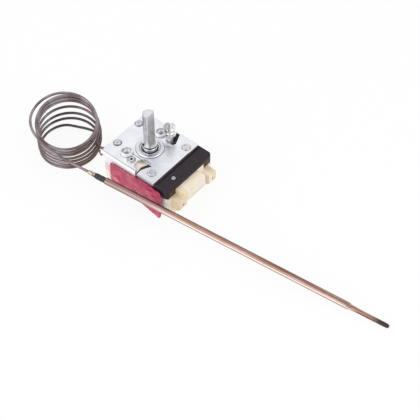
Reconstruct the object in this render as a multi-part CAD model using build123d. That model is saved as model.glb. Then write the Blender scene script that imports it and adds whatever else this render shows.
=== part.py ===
from build123d import *
import math
import os

# A capillary oven thermostat. Millimetres. The origin is where the spindle's axis meets the mounting
# plate's top face. +Z runs up the spindle, +X towards the black cover bar, +Y away from the red film.

# Mounting plate
PLATE_SIDE = 34.8
PLATE_BACK_X = -18.0
PLATE_T = 1.2
PLATE_CORNER_R = 0.8
FLANGE_DROP = 6.0
FLANGE_FROM, FLANGE_TO = -15.2, 5.4
SMALL_TAB_FROM, SMALL_TAB_TO, SMALL_TAB_DROP = 13.8, 17.0, 4.4
REAR_FLANGE_FROM, REAR_FLANGE_TO = -12.0, -4.5
BEND_R = 0.7
PAD_RISE = 0.3
COLLAR_OUTER_R, COLLAR_INNER_R, COLLAR_H, COLLAR_GUTTER = 7.15, 5.3, 0.9, 0.5
THREAD_HOLE_R, THREAD_MOUTH = 1.65, 0.3
THREAD_RIM_W, THREAD_RIM_H = 1.8, 0.8
SCREW_ROOM = 1.3
FRONT_THREAD = (-6.9, -9.6)
REAR_THREAD = (-2.4, 11.2)
STOP_TAB_ANGLE, STOP_TAB_HALF = 30.0, 10.0
STOP_TAB_INNER_R, STOP_TAB_OUTER_R = 7.0, 8.2

# Window beside the front thread, and the slit that frees the label tongue
WINDOW_CENTRE, WINDOW_R = (4.9, -11.2), 4.1
TONGUE_TIP = (7.7, -7.9)
SLIT_W = 0.55

# Keyhole that the calibration screw stands in
CALIBRATION_AT = (4.2, 10.3)
KEYHOLE_R = 2.2
KEYHOLE_SLOT_W = 2.0
KEYHOLE_SLOT_FROM, KEYHOLE_SLOT_TO = (7.1, 10.4), (3.7, 18.4)

# Black fibre sheet between plate and housing
GASKET_T = 0.3
GASKET_TAIL_X0, GASKET_TAIL_X1 = 0.6, 8.4
GASKET_HOLE_GAP = 0.7
WINDOW_BAND = 1.0

# Spindle group
SPINDLE_R = 3.0
SPINDLE_TOP = 25.6
SPINDLE_ACROSS_FLAT = 4.6
SPINDLE_FLAT_TURN = 8.0
SPINDLE_FLAT_FROM = 5.2
SPINDLE_CHAMFER = 0.7
SPINDLE_LIFT = 0.5
RUNNING_GAP = 0.06
BUSH_R, BUSH_TOP = 4.6, 2.2
BUSH_FLANGE_R, BUSH_FLANGE_T = 6.4, 1.4
SNAP_RING_R, SNAP_RING_T = 3.95, 0.7
SNAP_RING_Z = 3.9
WASHER_R, WASHER_T = 5.6, 0.35
STOP_DISC_R, STOP_DISC_T = 5.6, 1.2
STOP_LUG_R, STOP_LUG_HALF = 8.9, 19.0
STOP_DISC_TOP = -3.6

# Diaphragm capsule and push pin
CAPSULE_R, CAPSULE_T = 9.6, 1.5
CAPSULE_BOSS_R, CAPSULE_BOSS_H = 2.6, 0.25
CAPSULE_TOP = -5.6
CAPSULE_PIPE_ANGLE, CAPSULE_PIPE_L = 207.0, 4.4
CAPSULE_PIPE_END = CAPSULE_R + CAPSULE_PIPE_L
PIN_R = 1.5

# Ceramic housing
FLOOR_Z = -19.5
HOUSING_BACK_X, HOUSING_FRONT_X = -16.9, 26.0
HOUSING_HALF_Y = PLATE_SIDE / 2 - PLATE_T
HOUSING_CORNER_R = 1.0
CHAMBER_GAP = 0.6
CHAMBER_R = CAPSULE_R + CHAMBER_GAP
DECK_TOP, DECK_BOTTOM = -8.6, -10.6
LOWER_X0, LOWER_X1, LOWER_HALF_Y = -13.0, 21.0, 7.0
BLOCK_X, BLOCK_Y0, BLOCK_Y1 = 31.3, -10.6, 5.6
BLOCK_TOP, BLOCK_BOTTOM = -2.6, -9.4
POST_X, POST_Y0, POST_Y1 = 31.4, 8.6, 13.8
POST_BOTTOM, POST_CHAMFER = -13.4, 1.6
POST_HOLE_R, POST_HOLE_DEPTH = 0.7, 2.5

# Black cover bar
BAR_X0 = PLATE_SIDE / 2 + 0.1
BAR_HALF_Y = PLATE_SIDE / 2 - 0.2
BAR_T, BAR_END_DEPTH = 2.6, 6.1
BAR_END_Y = 10.6
BAR_LIP_W, BAR_LIP_H = 0.8, 0.35
BAR_EDGE_R = 1.0
BAR_RIVET_AT, BAR_RIVET_R = (22.0, -7.5), 0.8
BAR_RIVET_DEPTH, RIVET_TIP_GAP = 3.0, 0.2

# Red film and its studs
FILM_Y, FILM_T = -(PLATE_SIDE / 2 + 0.9), 0.25
FILM_FLARE_Z, FILM_FLARE = -16.9, 1.3
FILM_OUTLINE = ((-10.3, -2.1), (22.8, -1.2), (23.2, -19.3), (-10.8, -15.4))
FILM_CORNER_R, FILM_BEND_R = 1.0, 2.0
FILM_STUDS = ((-6.7, -12.4), (13.5, -14.6))
STUD_R, STUD_HEAD_R, STUD_HEAD_H = 1.0, 1.7, 0.6
STUD_BOSS_R = 2.0

# Rivets and eyelet
RIVET_SHANK_R, RIVET_DEPTH, RIVET_GAP = 1.2, 4.5, 0.05
DOME_RIVETS = ((-15.3, 8.9), (-14.8, -7.8))
FLAT_RIVETS = ((13.6, 11.9), (11.9, -12.2))
DOME_R, DOME_H = 2.15, 0.95
FLAT_R, FLAT_H = 2.2, 0.5
EYELET_AT = (-1.9, -11.8)
EYELET_R, EYELET_H, EYELET_SHANK_R, EYELET_BORE_R = 2.05, 0.6, 1.4, 0.65

# Calibration screw group
CAL_SHANK_R = 1.5
CAL_HEAD_R, CAL_HEAD_TOP, CAL_HEAD_H = 3.1, 10.3, 2.1
CAL_SLOT_W, CAL_SLOT_DEPTH, CAL_SLOT_TURN = 0.9, 1.1, 127.0
CAL_COLLAR_R, CAL_COLLAR_Z, CAL_COLLAR_H = 2.6, 4.6, 2.6
CAL_COLLAR_GROOVE = 0.3
CAL_END = -4.6
CAL_NUT_X, CAL_NUT_Y, CAL_NUT_T = 4.2, 4.0, 1.7

# Switch parts in the lower chamber
BLADE_W, BLADE_T, BLADE_TOP = 5.0, 0.3, -13.7
BLADE_X0, BLADE_X1 = -11.0, 11.6
BLADE_ROOT_X, CONTACT_X = -9.5, 9.0
CONTACT_R, MOVING_CONTACT_H, FIXED_CONTACT_H = 1.8, 0.8, 0.5
TAB_W, TAB_T, TAB_END_Y, TAB_SLOT_GAP = 6.3, 0.8, 24.4, 0.1
FIXED_TAB_X = 8.65
FIXED_RIVET_Y = 5.0
TERMINAL_RIVET_R, TERMINAL_RIVET_HEAD_R, TERMINAL_RIVET_HEAD_H = 1.0, 1.8, 0.6
ROOT_BOSS_R, BLADE_PIVOT_GAP = 1.6, 0.08

# Bottom cover
COVER_T, COVER_LEDGE_X, COVER_LEDGE_Y, COVER_GAP = 1.5, 3.1, 1.6, 0.1
COVER_SCREW_R, COVER_SCREW_HEAD_R, COVER_SCREW_L = 0.8, 1.5, 5.0

# Sensing bulb. It leans from the tail's end down to its tip on the surface.
BULB_R, BULB_L = 1.75, 136.8
NECK_L, SHOULDER_R = 6.4, 1.4
TIP_R, TIP_L = 1.15, 14.7
BULB_AZIMUTH, BULB_DIP = 9.11, 4.07
BULB_TIP_XY = (148.5, -0.9)
SLEEVE_R, SLEEVE_L = 1.55, 6.0
FERRULE_R, FERRULE_L = 1.25, 4.5

# Capillary tube
TUBE_R = 0.7
STUB_FROM, STUB_TO = (-25.9, -11.3, -8.3), (-19.9, -14.45, -7.1)
STUB_R, STUB_PINCH_L, STUB_PINCH_W, STUB_PINCH_T = 0.6, 2.0, 0.85, 0.25
COIL_WALL = 2.6
COIL_BOTTOM = (-45.2, -13.0)
COIL_BOTTOM_R = 15.4
COIL_TOP = (-45.8, -12.1, -1.9)
COIL_TOP_R = 16.3
COIL_TOP_TILT = 14.3
CAMERA_SIDE = -50.2


def at(x, y, z=0.0):
    return Location((x, y, z))


def disc(r, z0, z1, x=0.0, y=0.0):
    return at(x, y, z0) * extrude(Circle(r), z1 - z0)


def ring(r_out, r_in, z0, z1, x=0.0, y=0.0):
    return at(x, y, z0) * extrude(Circle(r_out) - Circle(r_in), z1 - z0)


def block(x0, x1, y0, y1, z0, z1):
    middle = ((x0 + x1) / 2, (y0 + y1) / 2, (z0 + z1) / 2)
    return Location(middle) * Box(x1 - x0, y1 - y0, z1 - z0)


def prism(points, z0, z1):
    return at(0, 0, z0) * extrude(make_face(Polyline(*points, close=True)), z1 - z0)


def polar(r, angle, z=0.0):
    a = math.radians(angle)
    return Vector(r * math.cos(a), r * math.sin(a), z)


def sector(r_in, r_out, angle, half, z0, z1):
    inner = [polar(r_in, angle + t * half) for t in (-1, 0, 1)]
    outer = [polar(r_out, angle + t * half) for t in (1, 0, -1)]
    edges = [
        ThreePointArc(*inner),
        Line(inner[2], outer[0]),
        ThreePointArc(*outer),
        Line(outer[2], inner[0]),
    ]
    return at(0, 0, z0) * extrude(make_face(edges), z1 - z0)


def slot(start, end, width, z0, z1):
    body = disc(width / 2, z0, z1, *start) + disc(width / 2, z0, z1, *end)
    dx, dy = end[0] - start[0], end[1] - start[1]
    middle = Location(((start[0] + end[0]) / 2, (start[1] + end[1]) / 2, (z0 + z1) / 2))
    turn = Rotation(0, 0, math.degrees(math.atan2(dy, dx)))
    return body + middle * turn * Box(math.hypot(dx, dy), width, z1 - z0)


# Plate, with all that is pressed and cut in one sheet
def tongue_cut():
    below, above = -PLATE_T - 0.5, PAD_RISE + 0.5
    half = PLATE_SIDE / 2 + 1
    x, y = WINDOW_CENTRE
    window = disc(WINDOW_R, below, above, x, y)
    tongue = [
        TONGUE_TIP,
        (x + 0.6, y - 0.4),
        (x + 0.1, y - WINDOW_R),
        (x + 1.2, -half),
        (x + 20, -half),
        (x + 20, TONGUE_TIP[1]),
    ]
    spike = [(x + 0.2, y + 0.9 * WINDOW_R), TONGUE_TIP, (x + 0.6, y - 0.4)]
    slit = [
        (x + 0.1 - SLIT_W, y - WINDOW_R + 0.5),
        (x + 0.1, y - WINDOW_R + 0.5),
        (x + 0.1, y - WINDOW_R),
        (x + 1.2, -half),
        (x + 1.2 - SLIT_W, -half),
        (x + 0.1 - SLIT_W, y - WINDOW_R),
    ]
    opening = window - prism(tongue, below - 0.1, above + 0.1)
    return opening + prism(spike, below, above) + prism(slit, below, above)


def raised_pad():
    edge = PLATE_SIDE / 2 - 0.3
    outline = [
        (-3.2, TONGUE_TIP[1] - 0.2),
        (TONGUE_TIP[0], TONGUE_TIP[1] - 0.2),
        (WINDOW_CENTRE[0] + 2.2, -edge),
        (edge, -edge),
        (edge, 9.4),
        (11.6, 9.4),
        (7.4, 7.2),
        (6.2, 3.4),
    ]
    return prism(outline, -0.1, PAD_RISE) - disc(COLLAR_OUTER_R + COLLAR_GUTTER, 0.0, 1)


def collar():
    middle = (COLLAR_OUTER_R + COLLAR_INNER_R) / 2
    width = COLLAR_OUTER_R - COLLAR_INNER_R
    body = ring(COLLAR_OUTER_R, COLLAR_INNER_R, -0.2, COLLAR_H)
    body = chamfer(body.edges().group_by(Axis.Z)[-1], 0.2 * width)
    groove = ring(middle + 0.19 * width, middle - 0.19 * width, -PLATE_T - 0.1, -PLATE_T + 0.5)
    return body, groove


def thread_rim(x, y):
    rim = disc(THREAD_HOLE_R + THREAD_RIM_W, -0.2, THREAD_RIM_H, x, y)
    return chamfer(rim.edges().group_by(Axis.Z)[-1], THREAD_RIM_H * 0.6, THREAD_RIM_W * 0.5)


def mouth_cone(x, y):
    top_r = THREAD_HOLE_R + THREAD_MOUTH
    cone = Cone(THREAD_HOLE_R, top_r + THREAD_MOUTH, 2 * THREAD_MOUTH)
    return at(x, y, THREAD_RIM_H) * cone


def folded_flange(x0, x1, side, drop):
    y_out = side * PLATE_SIDE / 2
    y_in = y_out - side * PLATE_T
    return block(x0, x1, min(y_out, y_in), max(y_out, y_in), -drop, 0.0)


def mounting_plate():
    half = PLATE_SIDE / 2
    outline = RectangleRounded(half - PLATE_BACK_X, PLATE_SIDE, PLATE_CORNER_R)
    plate = at((half + PLATE_BACK_X) / 2, 0) * extrude(outline, -PLATE_T)
    front = folded_flange(FLANGE_FROM, FLANGE_TO, -1, FLANGE_DROP)
    tab = folded_flange(SMALL_TAB_FROM, SMALL_TAB_TO - PLATE_CORNER_R, -1, SMALL_TAB_DROP)
    rear = folded_flange(REAR_FLANGE_FROM, REAR_FLANGE_TO, 1, FLANGE_DROP)
    plate += front + tab + rear
    outer = [e for e in plate.edges().filter_by(Axis.X) if abs(e.center().Z) < 1e-6]
    plate = fillet([e for e in outer if abs(abs(e.center().Y) - half) < 1e-6], BEND_R)
    ring_body, groove = collar()
    plate += raised_pad() + ring_body
    for x, y in (FRONT_THREAD, REAR_THREAD):
        plate += thread_rim(x, y)
    below, above = -PLATE_T - 0.5, COLLAR_H + 0.5
    plate -= disc(BUSH_R + RUNNING_GAP, below, above)
    plate -= disc(COLLAR_INNER_R, 0.0, above)
    for x, y in (FRONT_THREAD, REAR_THREAD):
        plate -= disc(THREAD_HOLE_R, below, above, x, y)
        plate -= mouth_cone(x, y)
    for x, y in DOME_RIVETS + FLAT_RIVETS:
        plate -= disc(RIVET_SHANK_R + RIVET_GAP, below, above, x, y)
    plate -= disc(EYELET_SHANK_R + RIVET_GAP, below, above, *EYELET_AT)
    plate -= disc(KEYHOLE_R, below, above, *CALIBRATION_AT)
    plate -= slot(KEYHOLE_SLOT_FROM, KEYHOLE_SLOT_TO, KEYHOLE_SLOT_W, below, above)
    plate -= tongue_cut() + groove
    return plate + stop_tab()


def stop_tab():
    foot = STOP_DISC_TOP - STOP_DISC_T - 0.2
    radii = (STOP_TAB_INNER_R, STOP_TAB_OUTER_R)
    return sector(*radii, STOP_TAB_ANGLE, STOP_TAB_HALF, foot, -PLATE_T + 0.1)


# Spindle, bush and what they carry
def spindle():
    tip_z = CAPSULE_TOP + CAPSULE_BOSS_H + 0.02
    profile = [
        (0, tip_z),
        (0.8, tip_z),
        (1.3, tip_z + 0.5),
        (2.4, STOP_DISC_TOP - STOP_DISC_T - 0.05),
        (SPINDLE_R, STOP_DISC_TOP - STOP_DISC_T + 0.1),
        (SPINDLE_R, SPINDLE_TOP - SPINDLE_CHAMFER),
        (SPINDLE_R - SPINDLE_CHAMFER, SPINDLE_TOP),
        (0, SPINDLE_TOP),
    ]
    face = make_face(Polyline(*[(r, 0, z) for r, z in profile], close=True))
    shaft = revolve(face, Axis.Z)
    flat_at = SPINDLE_ACROSS_FLAT - SPINDLE_R
    cut = block(flat_at, SPINDLE_R + 1, -4, 4, SPINDLE_FLAT_FROM, SPINDLE_TOP + 1)
    return shaft - Rotation(0, 0, SPINDLE_FLAT_TURN) * cut


def spindle_bush():
    flange_z = -PLATE_T - BUSH_FLANGE_T
    body = disc(BUSH_FLANGE_R, flange_z, -PLATE_T) + disc(BUSH_R, flange_z, BUSH_TOP)
    body = chamfer(body.edges().group_by(Axis.Z)[-1], 0.45)
    return body - disc(SPINDLE_R + RUNNING_GAP, flange_z - 1, BUSH_TOP + 1)


def snap_ring():
    band = ring(SNAP_RING_R, SPINDLE_R + 0.01, SNAP_RING_Z, SNAP_RING_Z + SNAP_RING_T)
    gap = block(-SNAP_RING_R - 1, 0, -0.8, 0.8, SNAP_RING_Z - 1, SNAP_RING_Z + 2)
    return band - Rotation(0, 0, 70) * gap


def friction_washer():
    top = -PLATE_T - BUSH_FLANGE_T
    return ring(WASHER_R, SPINDLE_R + 0.3, top - WASHER_T, top)


def stop_disc():
    bottom = STOP_DISC_TOP - STOP_DISC_T
    body = disc(STOP_DISC_R, bottom, STOP_DISC_TOP)
    body += sector(STOP_DISC_R - 1, STOP_LUG_R, 0, STOP_LUG_HALF, bottom, STOP_DISC_TOP)
    return body - disc(SPINDLE_R + 0.01, bottom - 1, STOP_DISC_TOP + 1)


# Capsule of two dished discs, welded at the rim, with its outlet pipe
def diaphragm_capsule():
    middle = CAPSULE_TOP - CAPSULE_T / 2
    rim, ripple = 0.35, 0.25
    half = CAPSULE_T / 2
    upper = [
        (0, half + CAPSULE_BOSS_H),
        (CAPSULE_BOSS_R, half + CAPSULE_BOSS_H),
        (CAPSULE_BOSS_R + 0.3, half),
        (5.0, half),
        (5.6, half - ripple),
        (6.4, half),
        (CAPSULE_R - 1.6, half),
        (CAPSULE_R - 0.7, rim),
        (CAPSULE_R, rim),
    ]
    lower = [(r, -z if z != half + CAPSULE_BOSS_H else -half) for r, z in reversed(upper)]
    points = [(r, 0, middle + z) for r, z in upper + lower]
    body = revolve(make_face(Polyline(*points, close=True)), Axis.Z)
    start = polar(CAPSULE_R - 1.0, CAPSULE_PIPE_ANGLE, middle)
    pipe_plane = Plane(origin=start, z_dir=polar(1, CAPSULE_PIPE_ANGLE))
    return body + extrude(pipe_plane * Circle(TUBE_R), CAPSULE_PIPE_END - CAPSULE_R + 1.0)


def push_pin():
    pin = disc(PIN_R, BLADE_TOP + 0.02, CAPSULE_TOP - CAPSULE_T)
    return chamfer(pin.edges().group_by(Axis.Z)[0], 0.5)


# Housing
def housing_outline():
    top = -PLATE_T - GASKET_T
    under_plate = block(HOUSING_BACK_X, BAR_X0, -HOUSING_HALF_Y, HOUSING_HALF_Y, FLOOR_Z, top)
    corners = under_plate.edges().filter_by(Axis.Z).group_by(Axis.X)[0]
    body = fillet(corners, HOUSING_CORNER_R)
    body += block(BAR_X0, HOUSING_FRONT_X, -HOUSING_HALF_Y, HOUSING_HALF_Y, FLOOR_Z, -BAR_END_DEPTH)
    body += block(BAR_X0, HOUSING_FRONT_X, -BAR_END_Y, BAR_END_Y, -BAR_END_DEPTH, -BAR_T)
    return body


def terminal_post(side):
    y0, y1 = sorted((side * POST_Y0, side * POST_Y1))
    profile = [
        (HOUSING_FRONT_X - 1, -BAR_END_DEPTH),
        (POST_X, -BAR_END_DEPTH),
        (POST_X, POST_BOTTOM + POST_CHAMFER),
        (POST_X - POST_CHAMFER, POST_BOTTOM),
        (HOUSING_FRONT_X - 1, POST_BOTTOM),
    ]
    face = make_face(Polyline(*[(x, y0, z) for x, z in profile], close=True))
    post = extrude(face, y1 - y0, dir=(0, 1, 0))
    hole_z = (POST_BOTTOM - BAR_END_DEPTH) / 2
    hole_plane = Plane(origin=(POST_X + 0.1, (y0 + y1) / 2, hole_z), z_dir=(-1, 0, 0))
    return post - extrude(hole_plane * Circle(POST_HOLE_R), POST_HOLE_DEPTH)


def middle_block():
    profile = [
        (HOUSING_FRONT_X - 1, BLOCK_TOP),
        (BLOCK_X, BLOCK_TOP),
        (BLOCK_X, BLOCK_BOTTOM + 1.2),
        (BLOCK_X - 1.2, BLOCK_BOTTOM),
        (HOUSING_FRONT_X - 1, BLOCK_BOTTOM),
    ]
    face = make_face(Polyline(*[(x, BLOCK_Y0, z) for x, z in profile], close=True))
    body = extrude(face, BLOCK_Y1 - BLOCK_Y0, dir=(0, 1, 0))
    return body - block(BAR_X0, HOUSING_FRONT_X, BLOCK_Y0, BLOCK_Y1, -BAR_T, 0)


def tab_slot(x, z_mid):
    half_w = TAB_W / 2 + TAB_SLOT_GAP
    half_t = TAB_T / 2 + TAB_SLOT_GAP
    return block(x - half_w, x + half_w, 0, HOUSING_HALF_Y + 1, z_mid - half_t, z_mid + half_t)


def ceramic_housing():
    body = housing_outline() + middle_block() + terminal_post(-1) + terminal_post(1)
    for x, z in FILM_STUDS:
        boss_plane = Plane(origin=(x, -HOUSING_HALF_Y + 0.5, z), z_dir=(0, -1, 0))
        reach = abs(FILM_Y) - FILM_T / 2 - HOUSING_HALF_Y + 0.5 - 0.02
        body += extrude(boss_plane * Circle(STUD_BOSS_R), reach)
    body -= disc(CHAMBER_R, DECK_TOP, 0)
    body -= block(LOWER_X0, LOWER_X1, -LOWER_HALF_Y, LOWER_HALF_Y, FLOOR_Z - 1, DECK_BOTTOM)
    body -= cover_blank(0, FLOOR_Z - 1)
    root_boss = disc(ROOT_BOSS_R, BLADE_TOP + BLADE_PIVOT_GAP, DECK_BOTTOM + 0.1, BLADE_ROOT_X, 0)
    body += root_boss
    body -= disc(PIN_R + RUNNING_GAP, DECK_BOTTOM - 1, DECK_TOP + 1)
    body -= disc(TERMINAL_RIVET_R, BLADE_TOP - 1, DECK_BOTTOM + 0.8, BLADE_ROOT_X, 0)
    body -= disc(TERMINAL_RIVET_R, DECK_BOTTOM - 1, DECK_BOTTOM + 1.4, FIXED_TAB_X, FIXED_RIVET_Y)
    body -= tab_slot(BLADE_ROOT_X, root_tab_top() - TAB_T / 2)
    body -= tab_slot(FIXED_TAB_X, DECK_BOTTOM - TAB_T / 2)
    for x, y in DOME_RIVETS + FLAT_RIVETS:
        body -= disc(RIVET_SHANK_R + RIVET_GAP, -PLATE_T - RIVET_DEPTH, 0, x, y)
    body -= disc(EYELET_SHANK_R + RIVET_GAP, -PLATE_T - RIVET_DEPTH, 0, *EYELET_AT)
    for x, y in (FRONT_THREAD, REAR_THREAD):
        body -= disc(THREAD_HOLE_R + GASKET_HOLE_GAP, -PLATE_T - SCREW_ROOM, 0, x, y)
    body -= calibration_nut_shape(0.2)
    body -= disc(CAL_SHANK_R + 0.4, CAL_END - 0.6, 0, *CALIBRATION_AT)
    body -= disc(BAR_RIVET_R + RIVET_GAP, -BAR_T - BAR_RIVET_DEPTH, 0, *BAR_RIVET_AT)
    for x, z in FILM_STUDS:
        hole_plane = Plane(origin=(x, FILM_Y - 1, z), z_dir=(0, 1, 0))
        body -= extrude(hole_plane * Circle(STUD_R + 0.02), 5.0)
    for x in cover_screw_xs():
        body -= disc(COVER_SCREW_R + 0.02, FLOOR_Z, FLOOR_Z + COVER_SCREW_L, x, 0)
    return body - capillary_passage()


def capillary_passage():
    middle = CAPSULE_TOP - CAPSULE_T / 2
    length = 16.0
    centre = polar(CHAMBER_R - 2 + length / 2, CAPSULE_PIPE_ANGLE, middle + SPINDLE_LIFT / 2)
    size = 2 * TUBE_R + 0.8
    return Location(centre) * Rotation(0, 0, CAPSULE_PIPE_ANGLE) * Box(length, size, size + SPINDLE_LIFT)


def cover_screw_xs():
    return (LOWER_X0 - COVER_LEDGE_X / 2 + 0.1, LOWER_X1 + COVER_LEDGE_X / 2 - 0.1)


def cover_blank(gap, bottom):
    x, y = COVER_LEDGE_X - gap, LOWER_HALF_Y + COVER_LEDGE_Y - gap
    return block(LOWER_X0 - x, LOWER_X1 + x, -y, y, bottom, FLOOR_Z + COVER_T)


# Black sheet that lies on the housing and closes the plate's openings, all but the round window
def window_opening(below, above):
    x, y = WINDOW_CENTRE
    edge = [
        (TONGUE_TIP[0] - WINDOW_BAND, TONGUE_TIP[1] + 1),
        (x + 0.6 - WINDOW_BAND, y - 0.2),
        (x + 0.1 - 0.6 * WINDOW_BAND, y - WINDOW_R - 0.3),
    ]
    left_x = x - WINDOW_R - 0.3
    left = [(left_x, y - WINDOW_R - 0.3), (left_x, TONGUE_TIP[1] + 1)]
    return disc(WINDOW_R + 0.2, below, above, x, y) & prism(edge + left, below, above)


def plate_gasket():
    below, above = -PLATE_T - GASKET_T, -PLATE_T
    edge = HOUSING_HALF_Y - 0.1
    sheet = block(HOUSING_BACK_X + 0.1, BAR_X0 - 0.2, -edge, edge, below, above)
    tail_end = PLATE_SIDE / 2 - 0.1
    sheet += block(GASKET_TAIL_X0, GASKET_TAIL_X1, edge - 1, tail_end, below, above)
    sheet -= disc(CHAMBER_R, below, above)
    for x, y in (FRONT_THREAD, REAR_THREAD):
        sheet -= disc(THREAD_HOLE_R + GASKET_HOLE_GAP, below, above, x, y)
    for x, y in DOME_RIVETS + FLAT_RIVETS:
        sheet -= disc(RIVET_SHANK_R + RIVET_GAP, below, above, x, y)
    sheet -= disc(EYELET_SHANK_R + RIVET_GAP, below, above, *EYELET_AT)
    sheet -= calibration_nut_shape(0.2)
    return sheet - window_opening(below, above)


# Cover bar over the switch end, one moulding with deeper ends
def cover_bar():
    middle = block(BAR_X0, HOUSING_FRONT_X, -BAR_HALF_Y, BAR_HALF_Y, -BAR_T, 0)
    body = middle
    for side in (-1, 1):
        y0, y1 = sorted((side * BAR_END_Y, side * BAR_HALF_Y))
        body += block(BAR_X0, HOUSING_FRONT_X, y0, y1, -BAR_END_DEPTH, 0)
    ends = [e for e in body.edges() if abs(abs(e.center().Y) - BAR_HALF_Y) < 1e-6]
    outer = [e for e in ShapeList(ends).filter_by(Axis.Z) if e.center().X > BAR_X0 + 1]
    body = fillet(outer, 2 * BAR_EDGE_R)
    top = [e for e in body.edges() if e.center().Z > -1e-6 and e.center().X > BAR_X0 + 0.1]
    body = fillet(top, BAR_EDGE_R * 0.6)
    ends = [e for e in body.edges() if abs(abs(e.center().Y) - BAR_HALF_Y) < 1e-6]
    feet = [e for e in ShapeList(ends).filter_by(Axis.X) if e.center().Z < -BAR_END_DEPTH + 0.1]
    body = fillet(feet, BAR_EDGE_R)
    lip_y = BAR_HALF_Y - BAR_EDGE_R
    body += block(BAR_X0, BAR_X0 + BAR_LIP_W, -lip_y, lip_y, -0.1, BAR_LIP_H)
    groove = block(BAR_X0 + BAR_LIP_W, BAR_X0 + 2 * BAR_LIP_W, -lip_y, lip_y, -0.35, 1)
    body -= groove
    return body - disc(BAR_RIVET_R + RIVET_GAP, -BAR_T - 1, 1, *BAR_RIVET_AT)


def cover_bar_rivet():
    x, y = BAR_RIVET_AT
    head = disc(BAR_RIVET_R + 0.3, 0, 0.35, x, y)
    head = chamfer(head.edges().group_by(Axis.Z)[-1], 0.25)
    return head + disc(BAR_RIVET_R, -BAR_T - BAR_RIVET_DEPTH + RIVET_TIP_GAP, 0.05, x, y)


# Film: a cut sheet with two stud holes, whose lower edge springs outwards
def insulating_film():
    points = [(x, FILM_Y + 2 * FILM_T, z) for x, z in FILM_OUTLINE]
    depth = 4 * FILM_T + FILM_FLARE
    blank = extrude(make_face(Polyline(*points, close=True)), depth, dir=(0, -1, 0))
    corners = blank.edges().filter_by(Axis.Y).sort_by(Axis.X)[-2:]
    blank = fillet(corners, FILM_CORNER_R)
    left, right = -30, 40
    inner = [(left, FILM_Y + FILM_T / 2, z) for z in (0, FILM_FLARE_Z)]
    inner.append((left, FILM_Y + FILM_T / 2 - FILM_FLARE, FLOOR_Z))
    outer = [(left, y - FILM_T, z) for _, y, z in reversed(inner)]
    sheet = extrude(make_face(Polyline(*inner, *outer, close=True)), right - left, dir=(1, 0, 0))
    bend = [e for e in sheet.edges().filter_by(Axis.X) if abs(e.center().Z - FILM_FLARE_Z) < 0.1]
    sheet = fillet(bend, FILM_BEND_R) & blank
    for x, z in FILM_STUDS:
        hole_plane = Plane(origin=(x, FILM_Y - 2, z), z_dir=(0, 1, 0))
        sheet -= extrude(hole_plane * Circle(STUD_R + 0.1), 4)
    return sheet


def film_studs():
    studs = []
    for x, z in FILM_STUDS:
        root = Plane(origin=(x, -HOUSING_HALF_Y + 1.5, z), z_dir=(0, -1, 0))
        reach = abs(FILM_Y) + FILM_T / 2 - HOUSING_HALF_Y + 1.5
        face = Plane(origin=(x, FILM_Y - FILM_T / 2, z), z_dir=(0, -1, 0))
        head = extrude(face * Circle(STUD_HEAD_R), STUD_HEAD_H)
        head = chamfer(head.edges().group_by(Axis.Y)[0], STUD_HEAD_H * 0.7)
        studs.append(extrude(root * Circle(STUD_R), reach) + head)
    return Compound(children=[s.solid() for s in studs])


# Fasteners
def plate_rivets():
    solids = []
    for x, y in DOME_RIVETS:
        cap_r = (DOME_R ** 2 + DOME_H ** 2) / (2 * DOME_H)
        ball = at(x, y, DOME_H - cap_r) * Sphere(cap_r)
        dome = ball & block(x - 5, x + 5, y - 5, y + 5, 0, 5)
        solids.append(dome + disc(RIVET_SHANK_R, -PLATE_T - RIVET_DEPTH + 0.3, 0.01, x, y))
    for x, y in FLAT_RIVETS:
        seat = PAD_RISE if y < 0 else 0.0
        head = disc(FLAT_R, seat, seat + FLAT_H, x, y)
        head = chamfer(head.edges().group_by(Axis.Z)[-1], 0.3)
        solids.append(head + disc(RIVET_SHANK_R, -PLATE_T - RIVET_DEPTH + 0.3, seat + 0.01, x, y))
    return Compound(children=[s.solid() for s in solids])


def hollow_eyelet():
    x, y = EYELET_AT
    head = disc(EYELET_R, 0, EYELET_H, x, y)
    head = fillet(head.edges().group_by(Axis.Z)[-1], 0.35)
    body = head + disc(EYELET_SHANK_R, -PLATE_T - RIVET_DEPTH + 0.3, 0.01, x, y)
    return body - disc(EYELET_BORE_R, -20, 5, x, y)


# Calibration screw, its collar and the nut under the plate
def calibration_screw():
    x, y = CALIBRATION_AT
    head = disc(CAL_HEAD_R, CAL_HEAD_TOP - CAL_HEAD_H, CAL_HEAD_TOP, x, y)
    head = chamfer(head.edges().group_by(Axis.Z)[-1], 0.35)
    groove = at(x, y, CAL_HEAD_TOP) * Rotation(0, 0, CAL_SLOT_TURN) * Box(8, CAL_SLOT_W, 2 * CAL_SLOT_DEPTH)
    shank = disc(CAL_SHANK_R, CAL_END, CAL_HEAD_TOP - CAL_HEAD_H + 0.01, x, y)
    shank = chamfer(shank.edges().group_by(Axis.Z)[0], 0.4)
    return head - groove + shank


def calibration_collar():
    x, y = CALIBRATION_AT
    top = CAL_COLLAR_Z + CAL_COLLAR_H
    middle = CAL_COLLAR_Z + 0.45 * CAL_COLLAR_H
    band = ring(CAL_COLLAR_R, CAL_SHANK_R + 0.01, CAL_COLLAR_Z, top, x, y)
    band = chamfer(band.edges().group_by(Axis.Z)[-1].sort_by(SortBy.RADIUS)[-1], 0.4)
    radii = (CAL_COLLAR_R + 1, CAL_COLLAR_R - CAL_COLLAR_GROOVE)
    groove = ring(*radii, middle, middle + CAL_COLLAR_GROOVE, x, y)
    return band - groove


def calibration_nut_shape(grow):
    x, y = CALIBRATION_AT
    out = math.degrees(math.atan2(y, x))
    shift = Vector(*polar(CAL_NUT_X / 2 - CAL_SHANK_R - 0.3, out))
    place = Location((x + shift.X, y + shift.Y, -PLATE_T - CAL_NUT_T / 2 - grow / 2))
    return place * Rotation(0, 0, out) * Box(CAL_NUT_X + 2 * grow, CAL_NUT_Y + 2 * grow, CAL_NUT_T + grow)


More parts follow.
